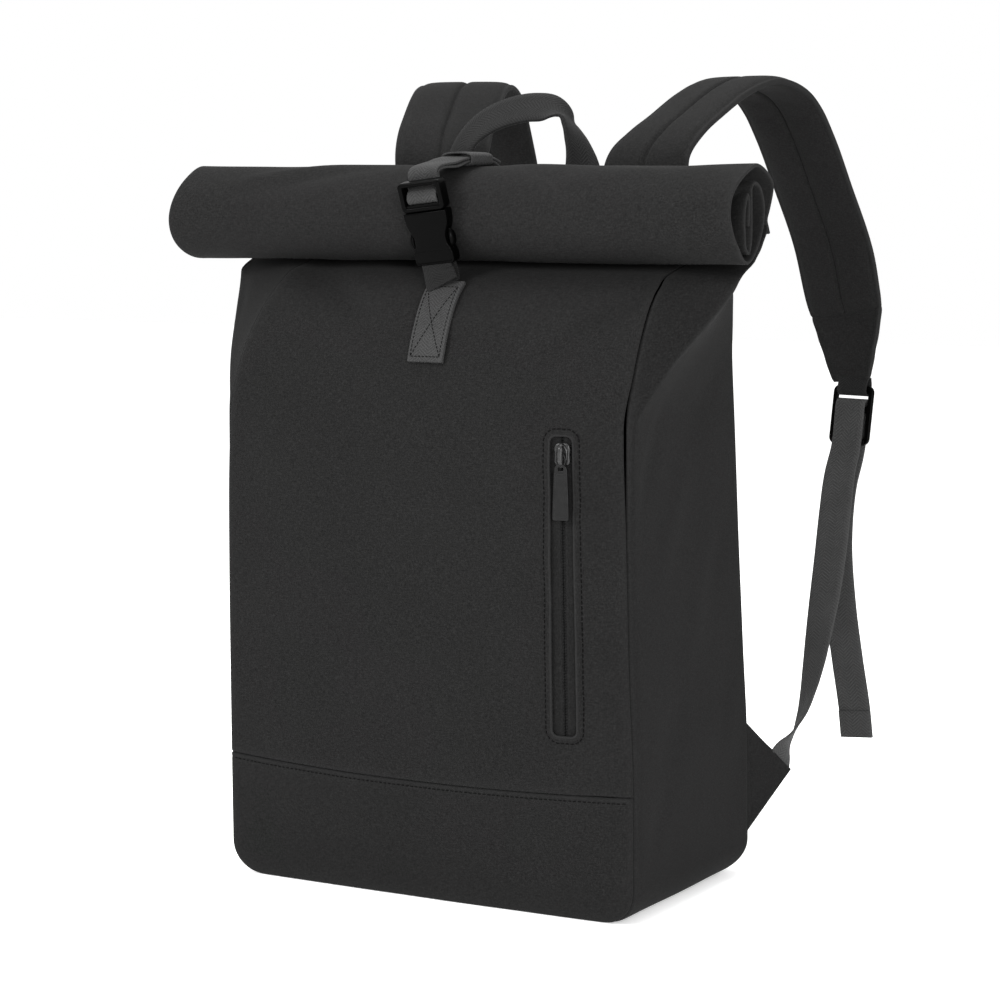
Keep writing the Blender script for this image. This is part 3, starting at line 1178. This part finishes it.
ZIP_MIDDLE = POCKET_TOP - POCKET_LENGTH / 2
ZIP_ACROSS = unit(vec(20, front_y(POCKET_X + 10, ZIP_MIDDLE) - front_y(POCKET_X - 10, ZIP_MIDDLE), 0))
TAPE_DEPTH = 1.8 + CLEAR + 0.5 + 0.45
COIL_DEPTH = TAPE_DEPTH - 0.45 - CLEAR - 0.85


def zip_line(low, high, depth, count=60, x=0.0):
    zs = np.linspace(SLOT_LOW + low, SLOT_HIGH + high, count)
    return [(vec(slot_mid(z), front_y(slot_mid(z), z) + depth, z) + ZIP_ACROSS * x, ZIP_ACROSS) for z in zs]


def coil_loop(z, side):
    """One rib of the coil, beside the line where the two tapes meet."""
    centre = vec(slot_mid(z), front_y(slot_mid(z), z) + COIL_DEPTH, z)
    points = []
    for x, r in ((0.15, 0.3), (0.45, 0.42), (1.2, 0.42), (2.6, 0.3)):
        p = centre + ZIP_ACROSS * side * x + vec(0, 0.3 if x > 2 else 0, 0)
        points += [p + vec(0, cosd(a) * r * 1.3, sind(a) * r) for a in range(0, 360, 60)]
    return np.array(points), [f[::side] for f in tube_faces(4, 6)]


def zip_parts():
    more = {"step": 4, "least": 1, "slot": "zip"}
    strip("zip_tape_cloth", zip_line(-5, 5, TAPE_DEPTH), 27, 0.9, ZIP_CLOTH, replaces=["zip_tape"], **more)
    heights = np.arange(SLOT_LOW - 1, SLOT_HIGH + 1, 0.95)
    points, faces = join([coil_loop(z, side) for side in (-1, 1) for z in heights])
    piece("zip_coil_loops", points, faces, TEETH, slot="zip", sharp=180, replaces=["zip_coil"])
    for side, name in ((-1, "left"), (1, "right")):
        line = zip_line(-3, 3, COIL_DEPTH + 0.25, 50, side * 6.2)
        strip(f"zip_tape_face_{name}", line, 10.2, 0.7, ZIP_CLOTH, **more)


SLIDER = Place(vec(POCKET_X, -91.495, 291), vec(0.9971, 0.0758, 0), vec(0.0002, -0.0028, 1))
PIN_OUT = 3 + 2.6 / 2


def slider():
    """The slider's body, with the oval bridge that the puller's ring runs on."""
    outline = both_sides([(1.6, -7), (4.0, -6.4), (5.1, -4), (4.9, 0), (5.2, 3), (4.6, 6), (2.6, 7)], 24)
    a = np.linspace(0, 2 * math.pi, 41)[:-1]
    oval = np.stack([np.cos(a) * 3.4, np.full_like(a, -3.4), np.sin(a) * 6.0], 1)
    rise = [(-2.2, 6.2), (-4.6, 5.8), (-6.0, 4.2), (-6.35, 1.5)]
    arch = np.array([(0, y, z) for y, z in rise] + [(0, y, -z) for y, z in rise[::-1]])
    knots = arc(arch)
    bridge = through(knots, arch, np.linspace(0, knots[-1], 40), monotone=False)
    points, faces = join([
        plate_mesh(outline, [], 3, 0.9, y=-1.5), pipe(bridge, 0.78, 12, (1, 0, 0), flat=1.9),
        pipe(oval, 0.55, 10, (0, 1, 0), closed=True),
    ])
    piece(
        "zip_slider_metal", SLIDER.all(points), faces, METAL, slot="metal", sharp=35, replaces=["zip_slider"],
    )


def puller():
    """The ring on the slider's bridge, and the bare plate that hangs from it."""
    a = np.linspace(0, 2 * math.pi, 49)[:-1]
    ring = np.stack([np.sin(a) * 2.75, np.full_like(a, -PIN_OUT), -3.4 - np.cos(a) * 4.2], 1)
    outline = both_sides([
        (4.5, -40.2), (5.4, -39.2), (5.2, -30), (4.7, -18), (4.2, -9), (3.6, -7.2), (2.2, -6.1),
    ])
    raised = both_sides([(3.6, -38.8), (4.2, -38.2), (4.0, -30), (3.5, -18), (3.1, -12.6), (2.4, -11.8)], 30)
    points, faces = join([
        pipe(ring, 0.62, 12, (0, 1, 0), closed=True),
        plate_mesh(outline, [rounded(3.6, 2.6, 1.2, 5, -8.5)], 1.6, 0.4, y=-PIN_OUT),
        plate_mesh(raised, [], 1.9, 0.25, y=-PIN_OUT),
    ])
    piece(
        "zip_puller_metal", SLIDER.all(points), faces, PULL, body="puller", slot="metal", sharp=35,
        replaces=["zip_puller"],
    )


# Handle

# Stations of the handle: place across, up and back as shares of its sizes, and its width's direction
HANDLE = [
    (-1, 0, 0, (-1, 0, 0)), (-1.01, 0.35, 0.05, (-1, 0.1, 0)), (-0.99, 0.6, 0.1, (-0.97, 0.25, 0.05)),
    (-0.965, 0.71, 0.12, (-0.92, 0.38, 0.1)), (-0.91, 0.785, 0.18, (-0.82, 0.5, 0.25)),
    (-0.81, 0.85, 0.46, (-0.72, 0.54, 0.42)), (-0.65, 0.908, 0.86, (-0.62, 0.54, 0.57)),
    (-0.38, 0.96, 1.26, (-0.4, 0.58, 0.71)), (-0.07, 0.984, 1.56, (-0.34, 0.61, 0.71)),
    (0.16, 0.974, 1.62, (-0.37, 0.66, 0.65)), (0.278, 0.952, 1.62, (-0.45, 0.76, 0.48)),
    (0.352, 0.928, 1.56, (-0.47, 0.82, 0.31)), (0.416, 0.887, 1.46, (-0.31, 0.92, 0.25)),
    (0.49, 0.823, 1.36, (-0.03, 0.98, 0.18)), (0.555, 0.757, 1.16, (0.21, 0.97, 0.11)),
    (0.61, 0.678, 0.8, (0.55, 0.84, 0)), (0.63, 0.55, 0.12, (0.93, 0.36, 0)), (0.68, 0.36, 0, (1, 0, 0)),
    (0.72, 0, 0, (1, 0, 0)),
]
BACK_TOP_Y = float(np.interp(BACK_HEIGHT - FOOT_DROP, WALL_Z, WALL_ROWS[:, 7])) * HALF_D


def handle():
    y = BACK_TOP_Y + CLEAR + 0.2 + HANDLE_THICK / 2
    stations = [
        (vec(x * HANDLE_HALF, y + back * HANDLE_LEAN, BACK_HEIGHT - FOOT_DROP + up * HANDLE_RISE), side)
        for x, up, back, side in HANDLE
    ]
    strip(
        "handle_webbing", stations, HANDLE_WIDTH, HANDLE_THICK, HANDLE_WEB, step=1.6,
        replaces=["grab_handle"],
    )


# Shoulder straps, made for the right side and mirrored for the left

# The pad's route: out, back and up as shares of its sizes, turn and width
PAD_ROUTE = np.array([
    (0, 0, -0.037, 0, 1), (0.04, 0.004, 0.25, 0.1, 1), (0.07, 0.012, 0.45, 0.35, 1),
    (0.09, 0.037, 0.62, 0.8, 1), (0.165, 0.107, 0.73, 1.2, 1), (0.247, 0.198, 0.818, 1.4, 1),
    (0.352, 0.318, 0.923, 1.35, 1), (0.416, 0.39, 0.968, 1.2, 1), (0.467, 0.463, 0.988, 1.1, 1),
    (0.52, 0.54, 0.974, 1, 1), (0.58, 0.623, 0.923, 1, 1), (0.62, 0.678, 0.853, 1, 1),
    (0.655, 0.737, 0.746, 1, 1), (0.725, 0.857, 0.471, 1, 1), (0.84, 0.955, 0.14, 1, 1),
    (0.9, 0.99, -0.1, 1, 0.97), (0.93, 1, -0.19, 1, 0.92),
])
PAD_Y = BACK_TOP_Y + 2 * CLEAR + HANDLE_THICK + PAD_THICK / 2 + 0.6
STRAP_ACROSS = turned(-STRAP_TURN)
END_DOWN = unit(vec(0.1, -0.02, -1))


def pad_point(row):
    out, back, up = row[:3] * (STRAP_SPLAY, STRAP_REACH, STRAP_RISE)
    return vec(STRAP_FOOT + out, PAD_Y + back, BACK_HEIGHT + up)


PAD_KNOTS = np.array([pad_point(r) for r in PAD_ROUTE])
PAD_WAY = unit(PAD_KNOTS[-1] - PAD_KNOTS[-2])
END_START = PAD_KNOTS[-1] + PAD_WAY * CLEAR
END_TIP = END_START + END_DOWN * END_LENGTH


def pad_frames(step=3.4):
    knots = arc(PAD_KNOTS)
    q = np.linspace(0, knots[-1], int(knots[-1] / step))
    p = through(knots, PAD_KNOTS, q, monotone=False)
    turn = through(knots, PAD_ROUTE[:, 3], q)
    wide = through(knots, PAD_ROUTE[:, 4], q)
    t = unit(np.gradient(p, axis=0))
    a = np.array([turned(-STRAP_TURN * s) for s in turn])
    a = unit(a - t * (a * t).sum(1, keepdims=True))
    return p, a, np.cross(t, a), wide, q


def pressed(o, held, pressure, cap, frames=20):
    """Blows a piece up by cloth simulation, with its seams held, and keeps the result."""
    group = o.vertex_groups.new(name="held")
    for w in sorted(set(np.round(held, 2))):
        group.add([int(i) for i in np.where(np.round(held, 2) == w)[0]], float(w), "REPLACE")
    rest = np.array([v.co for v in o.data.vertices])
    cloth = o.modifiers.new("cloth", "CLOTH")
    s = cloth.settings
    s.quality, s.mass, s.vertex_group_mass, s.pin_stiffness = 6, 0.3, "held", 1.0
    s.tension_stiffness = s.compression_stiffness = 20
    s.shear_stiffness, s.bending_stiffness = 8, 0.6
    s.use_pressure, s.uniform_pressure_force = True, pressure
    s.effector_weights.gravity = 0
    cloth.collision_settings.use_collision = False
    cloth.point_cache.frame_start, cloth.point_cache.frame_end = 1, frames
    scene = bpy.context.scene
    for f in range(1, frames + 1):
        scene.frame_set(f)
    moved = np.array([v.co for v in o.evaluated_get(bpy.context.evaluated_depsgraph_get()).data.vertices])
    scene.frame_set(1)
    o.modifiers.remove(cloth)
    o.vertex_groups.remove(group)
    step = moved - rest
    length = np.linalg.norm(step, axis=1, keepdims=True)
    step *= np.minimum(1, cap * MM / np.maximum(length, 1e-9))
    o.data.vertices.foreach_set("co", (rest + step).astype(np.float32).ravel())
    o.data.update()
    return o


def pad_section():
    """Places round the pad's section: share of the half width, and share of the half thickness."""
    u = np.array([0, 0.02, 0.05, 0.1, 0.17, 0.26, 0.36, 0.47, 0.58, 0.68, 0.77, 0.85, 0.905, 0.945, 0.97])
    across = np.concatenate([-u[::-1], u[1:]])
    edge = [(0.985, 0.2), (0.985, -0.2)]
    face = [(x, 1) for x in across]
    return face + edge + [(x, -1) for x in across[::-1]] + [(-x, y) for x, y in edge[::-1]]


def shoulder_pad(side):
    """The padded strap: two faces sewn along their edges and down a channel in the middle."""
    p, a, up, wide, q = pad_frames()
    section, half = pad_section(), PAD_WIDTH / 2
    points, held, uv, wear = [], [], [], []
    for i in range(len(p)):
        ends = min(q[i], q[-1] - q[i])
        taper = lerp(0.62, 1.0, soft_step(ends / 14))
        for x, v in section:
            y = v * PAD_THICK / 2
            if abs(v) == 1:
                crown = max(0.0, 1 - abs(x) ** 5) ** 0.5
                channel = 1 - 0.58 * bell(x * half, 1.6)
                rim = 1 - 0.5 * bell((1 - abs(x)) * half - 3.6, 1.0)
                y = y * 0.78 * crown * channel * taper * rim
            points.append(p[i] + a[i] * (x * half * wide[i]) + up[i] * y)
            held.append(1.0 if abs(x) < 0.03 or abs(x) > 0.9 or ends < 3 else 0.0)
            uv.append((x * half + (200 if v > 0 else 320), q[i]))
            wear.append(0.5 * max(0, abs(x) - 0.9) / 0.08)
    o = piece(
        f"shoulder_padding_{side}", flipped(np.array(points), side), tube_faces(len(p), len(section)),
        PAD_CLOTH, uv=uv, wear=wear, sharp=180, replaces=[f"shoulder_pad_{side}"],
    )
    pressed(o, np.array(held), 3.0, 1.4)
    smooth = o.modifiers.new("smooth", "SUBSURF")
    smooth.levels = smooth.render_levels = 1


def strap_end(side):
    """The strap's flat, tapered end, with a row of stitches round it."""
    shares = np.concatenate([np.linspace(-0.07, 0.9, 22), [0.93, 0.96, 0.98, 1.0, 1.015, 1.025]])
    corner = 3.4 * np.clip((shares - 0.93) / 0.095, 0, 1) ** 2.4
    width = lerp(0.9 * PAD_WIDTH, END_WIDTH, np.clip(shares, 0, 1)) - corner
    us = np.array([0, 0.15, 0.3, 0.45, 0.6, 0.72, 0.8, 0.85, 0.9, 0.94, 0.97, 0.99])
    face = [(x, 1) for x in np.concatenate([-us[::-1], us[1:]])]
    half = face + [(1, 0.25), (1, -0.25)]
    section = half + [(-x, -v) for x, v in half]
    points, uv, wear = [], [], []
    for s, w in zip(shares, width):
        down = lerp(PAD_WAY, END_DOWN, float(soft_step(s / 0.25)))
        at = END_START + END_DOWN * (s * END_LENGTH)
        a = unit(STRAP_ACROSS - down * np.dot(STRAP_ACROSS, down))
        up = np.cross(down, a)
        end = min(s + 0.07, 1.025 - s) * END_LENGTH
        for x, v in section:
            d = min((1 - abs(x)) * w / 2, end + 0.6)
            y = END_THICK / 2 * v * math.sqrt(max(0.12, min(1, d / 1.6)))
            if abs(v) == 1:
                y += 0.25 * math.sin(s * 17 + x * 5) - math.copysign(0.55 * bell(d - 4.0, 0.7), v)
            points.append(at + a * (x * w / 2) + up * y)
            uv.append((x * w / 2 + (100 if v > 0 else 180), s * END_LENGTH))
            wear.append(0.5 if d < 1 else 0.0)
    piece(
        f"strap_end_{side}_cloth", flipped(np.array(points), side), tube_faces(len(shares), len(section)),
        PAD_CLOTH, uv=uv, wear=wear, sharp=60, replaces=[f"strap_end_{side}"],
    )


LOCK_UP = vec(0, sind(LOCK_LEAN), cosd(LOCK_LEAN))
LOCK_DROP = 2 * CLEAR + 1.3 + LOOP_LEG + LOCK_LENGTH / 2 - LOCK_BAR
LOCK_CENTRE = END_TIP + STRAP_ACROSS * LOCK_ASIDE - LOCK_UP * LOCK_DROP
LOCK = Place(LOCK_CENTRE, STRAP_ACROSS, LOCK_UP)
LOCK_OFF = LOCK_THICK / 2 + CLEAR + WEB_THICK / 2 + 0.15
TOP_BAR = LOCK_LENGTH / 2 - LOCK_BAR
MIDDLE_TOP = TOP_BAR - UPPER_SLOT
MIDDLE_LOW = MIDDLE_TOP - MIDDLE_BAR
LOCK_FOOT = -LOCK_LENGTH / 2


def in_lock(y, z):
    return LOCK.at(0, y, z), STRAP_ACROSS


def lock_loop(side):
    high, upper = TOP_BAR + LOOP_LEG + 4, TOP_BAR + LOCK_BAR
    stations = [
        in_lock(LOCK_OFF - 1.5, high), in_lock(LOCK_OFF, upper),
        *round_bar(in_lock, TOP_BAR + 0.2, LOCK_OFF, 0.6 - LOCK_OFF, range(0, 181, 45)),
        in_lock(-LOCK_OFF, upper), in_lock(-LOCK_OFF + 1.5, high),
    ]
    strip(
        f"lock_loop_{side}_webbing", stations, STRAP_WEB, WEB_THICK, DARK_WEB, step=0.8, side=side,
        replaces=[f"lock_loop_{side}"],
    )


def ladder_lock(side):
    """The lock: a plate with two windows and three bars, and a finger flap at its foot."""
    slot, low = STRAP_WEB + 2 * CLEAR + 0.6, LOCK_FOOT + LOCK_BAR
    windows = [
        rounded(slot, TOP_BAR - MIDDLE_TOP, 1.2, 4, (TOP_BAR + MIDDLE_TOP) / 2),
        rounded(slot, MIDDLE_LOW - low, 1.2, 4, (MIDDLE_LOW + low) / 2),
    ]
    plate = plate_mesh(rounded(LOCK_WIDTH, LOCK_LENGTH, 5, 8), windows, LOCK_THICK, 0.8)
    heights = (MIDDLE_TOP - 1.3, MIDDLE_LOW + 1.3)
    bars = [rod((-slot / 2 - 0.5, 0, z), (slot / 2 + 0.5, 0, z), 1.3, 16) for z in heights]
    flap = plate_mesh(rounded(LOCK_WIDTH - 6, 4.6, 1.8, 5, LOCK_FOOT + 2.2), [], LOCK_THICK + 1.2, 0.6)
    points, faces = join([plate, *bars, flap])
    piece(
        f"ladder_lock_{side}_plastic", flipped(LOCK.all(points), side), faces, PLASTIC, slot="plastic",
        sharp=30, replaces=[f"ladder_lock_{side}"],
    )


# The webbing from the corner tab up to the lock: share of the way, bow to the right, and turn
LOWER_ROUTE = [
    (0, 0, -105), (0.05, 0.012, -90), (0.1, 0.034, -73),
    (0.15, 0.048, -60), (0.22, 0.054, -49), (0.3, 0.053, -38),
    (0.4, 0.047, -28), (0.52, 0.039, -17), (0.66, 0.026, -11), (0.8, 0.009, -10), (0.92, -0.003, -12),
]
# Its free tail: shares down, back and out, and turn
TAIL_ROUTE = [
    (0.12, 0.014, -0.036, -12), (0.32, 0.026, -0.06, -8),
    (0.54, 0.036, -0.048, -5), (0.74, 0.05, -0.022, -4),
    (0.9, 0.062, 0.002, -3), (1, 0.07, 0.011, -3),
]
CORNER = Place(vec(HALF_W, float(body_rows([CORNER_LOW])["rear"][0]), 0), turned(CORNER_TURN), vec(0, 0, 1))
TAB_OUTER = vec(TAB_REACH, 0, lerp(CORNER_LOW, CORNER_HIGH, 0.48))
TAB_INNER = vec(TAB_REACH * 0.48, 0, lerp(CORNER_LOW, CORNER_HIGH, 0.71))
TAB_TIP = CORNER.at(*((TAB_OUTER + TAB_INNER) / 2))
TAB_EDGE = unit(CORNER.at(*TAB_INNER) - CORNER.at(*TAB_OUTER))
TAB_AWAY = unit(CORNER.at(*np.cross((0, 1, 0), TAB_INNER - TAB_OUTER)) - CORNER.at(0, 0, 0))


def adjuster(side):
    """The adjuster's webbing, round the lock's middle bar, with its tail hanging free and hemmed."""
    start, lock_in = TAB_TIP - TAB_AWAY * 3, in_lock(-LOCK_OFF, LOCK_FOOT - 3)[0]
    stations = [(start, TAB_EDGE, TAB_AWAY)]
    for along, bow, turn in LOWER_ROUTE[1:]:
        stations.append((lerp(start, lock_in, along) + vec(bow * STRAP_REACH, 0, 0), turned(turn)))
    last = in_lock(LOCK_OFF, LOCK_FOOT)
    stations += [
        in_lock(-LOCK_OFF, LOCK_FOOT), in_lock(-LOCK_OFF, 0),
        *round_bar(in_lock, MIDDLE_TOP + 1.6, LOCK_OFF, LOCK_OFF, range(180, -1, -30)),
        in_lock(LOCK_OFF, 0), last,
    ]
    tail = [
        (last[0] + vec(out * STRAP_REACH, back * STRAP_REACH, -down * TAIL), turned(turn))
        for down, back, out, turn in TAIL_ROUTE
    ]
    strip(
        f"adjuster_{side}_webbing", stations + tail, STRAP_WEB, WEB_THICK, TAPE, side=side,
        replaces=[f"adjuster_web_{side}"],
    )
    # The hem: the tail's end is folded back and sewn
    p, a, up, q = fine_route(tail, 2.0)
    hem = [(p[i] + up[i] * 1.15, a[i]) for i in np.where(q > q[-1] - 20)[0]]
    strip(f"tail_hem_{side}", hem, STRAP_WEB - 0.3, 1.1, TAPE, least=1, side=side)


def corner_tab(side):
    """The cloth tab that carries the webbing: two faces, folded edges, slightly full."""
    corners = np.array([(-4.5, CORNER_LOW), TAB_OUTER[::2], TAB_INNER[::2], (-6, CORNER_HIGH)])
    shares = 0.5 - 0.5 * np.cos(np.linspace(0, math.pi, 26))
    s, t = np.meshgrid(shares, shares, indexing="ij")
    weights = np.stack([(1 - s) * (1 - t), s * (1 - t), s * t, (1 - s) * t], -1)
    x, z = np.moveaxis(weights @ corners, -1, 0)
    width = np.linalg.norm(corners[1] - corners[0])
    edge = np.minimum(np.minimum(s, 1 - s) * width * 0.9, np.minimum(t, 1 - t) * 40)
    half = CORNER_THICK / 2 * np.sqrt(np.clip(edge / 1.4, 0.1, 1)) - 0.35 * bell(edge - 3.4, 0.7)
    half = half + 0.25 * wobble(x, z, 26, 71) * soft_step(edge / 8)
    face = lambda y: flipped(CORNER.all(np.stack([x, y, z], -1).reshape(-1, 3)), side).reshape(*x.shape, 3)
    sheet(
        f"corner_tab_{side}_cloth", face(half), face(-half), CLOTH, flat_uv(x, z + 50, 50),
        0.6 * np.exp(-edge / 1.2), sharp=60, replaces=[f"corner_tab_{side}"],
    )


# Build

FRONT, BAND = front_panel(), front_band()
for sign, name in ((1, "right"), (-1, "left")):
    side_panel(sign, name)
back_panel()
rear_yoke()
base_panel()
roll()
TAB = tab()
lower_web()
top_strap()
keeper()
buckle()
zip_parts()
slider()
puller()
handle()
for side in ("right", "left"):
    shoulder_pad(side)
    strap_end(side)
    lock_loop(side)
    ladder_lock(side)
    adjuster(side)
    corner_tab(side)


# Stitches, laid on the cloth


def slot_loop(off):
    """The slot's outline, moved out by a distance, in front of the pack."""
    points = []
    for sx, sz, start in ((1, 1, 0), (-1, 1, 90), (-1, -1, 180), (1, -1, 270)):
        z = (SLOT_HIGH if sz > 0 else SLOT_LOW) - sz * SLOT_CORNER
        half = SLOT_HALF[sz > 0] - SLOT_CORNER
        for a in np.linspace(start, start + 90, 10):
            high = z + sind(a) * (SLOT_CORNER + off)
            points.append((slot_mid(high) + sx * half + cosd(a) * (SLOT_CORNER + off), -100, high))
    return dense([*points, points[0]])


def pocket_edge(tree):
    """The cloth folded back round the slot."""
    ring = np.array(on_cloth(tree, slot_loop(0.55))[0])[:-1] + vec(0, 0.45, 0)
    points, faces = pipe(ring, 0.85, 10, (0, 1, 0), closed=True)
    row, column = np.divmod(np.arange(len(points)), 10)
    uv = np.stack([column * 0.5, row * 1.5], 1)
    piece("pocket_edge", points, faces, CLOTH, uv=uv, wear=np.full(len(points), 0.6), sharp=180)


def band_line():
    """The row below the band's seam, which sags with it."""
    xs = np.linspace(-145, 145, 60)
    return dense([(x, -100, BAND_Z - SAG * (1 - (x / HALF_W) ** 2) - 3.4) for x in xs])


def tab_lines():
    """A box with a cross in it."""
    w, low, high = TAB_WIDTH / 2 - 2.2, TAB_LOW + 4.5, TAB_TOP + 1
    a, b, c, d = ((TAB_X + x, -120, z) for x, z in ((-w, low), (w, low), (w, high), (-w, high)))
    return [dense(ends) for ends in ((a, b), (b, c), (c, d), (d, a), (a, c), (b, d))]


FRONT_SURFACE, TAB_SURFACE = surface(FRONT), surface(TAB)
stitches("pocket_stitches", [on_cloth(FRONT_SURFACE, slot_loop(4.4))], THREAD, thick=0.7)
stitches("band_stitches", [on_cloth(surface(BAND), band_line())], THREAD)
box = [on_cloth(TAB_SURFACE, line) for line in tab_lines()]
stitches("tab_stitches", box, THREAD, pitch=2.6, length=2.0, thick=0.5, slot="webbing")
pocket_edge(FRONT_SURFACE)

# Floor, light and camera

floor_mesh = bpy.data.meshes.new("floor")
floor_mesh.from_pydata([(-6, -6, 0), (6, -6, 0), (6, 6, 0), (-6, 6, 0)], [], [(0, 1, 2, 3)])
floor = bpy.data.objects.new("floor", floor_mesh)
bpy.context.scene.collection.objects.link(floor)
ground = Nodes("pale_floor")
tone = ground.colours(ground.noise(3, 2), (0.3, (0.93, 0.93, 0.93)), (0.7, (0.96, 0.96, 0.96)))
floor_mesh.materials.append(ground.finish(tone, 0.9, Emission_Color=(1, 1, 1, 1), Emission_Strength=0.3))

world = bpy.context.scene.world or bpy.data.worlds.new("studio")
bpy.context.scene.world = world
world.use_nodes = True
background = world.node_tree.nodes["Background"]
background.inputs["Color"].default_value = (1, 1, 1, 1)
background.inputs["Strength"].default_value = 1.0


def stand(o, at, way):
    """Puts a lamp or a camera at a place, looking one way."""
    o.location = at
    o.rotation_mode = "QUATERNION"
    o.rotation_quaternion = Vector(way).to_track_quat("-Z", "Y")
    bpy.context.scene.collection.objects.link(o)


def soft_light(name, at, target, size, power):
    data = bpy.data.lights.new(name, "AREA")
    data.shape, data.size, data.size_y, data.energy = "RECTANGLE", size, size, power
    stand(bpy.data.objects.new(name, data), at, Vector(target) - Vector(at))


soft_light("overhead", (-0.2, 0.2, 1.9), (0, 0, 0.3), 1.2, 30)
soft_light("left", (-1.0, -1.9, 1.5), (0, 0, 0.25), 0.8, 46)
soft_light("right", (1.6, -1.8, 0.8), (0, 0, 0.25), 0.8, 48)

# The camera: its turn and rise round the pack in degrees, and its distance in millimetres.
# Its focal length is in the picture's pixels, which it is 1000 of each way.
AZIMUTH, ELEVATION, DISTANCE, FOCAL, PICTURE, SENSOR = 29.4, 6.35, 1848, 2821, 1000, 36
away = vec(sind(AZIMUTH) * cosd(ELEVATION), -cosd(AZIMUTH) * cosd(ELEVATION), sind(ELEVATION))
right = turned(AZIMUTH)
eye = vec(0, 0, 250) + right * 7.3 - np.cross(away, right) * 1.5 + away * DISTANCE
camera = bpy.data.objects.new("camera", bpy.data.cameras.new("camera"))
camera.data.sensor_width, camera.data.lens = SENSOR, FOCAL * SENSOR / PICTURE
camera.data.clip_start, camera.data.clip_end = 0.05, 40
stand(camera, eye * MM, -away)
bpy.context.scene.camera = camera
bpy.context.scene.view_settings.view_transform = "Standard"
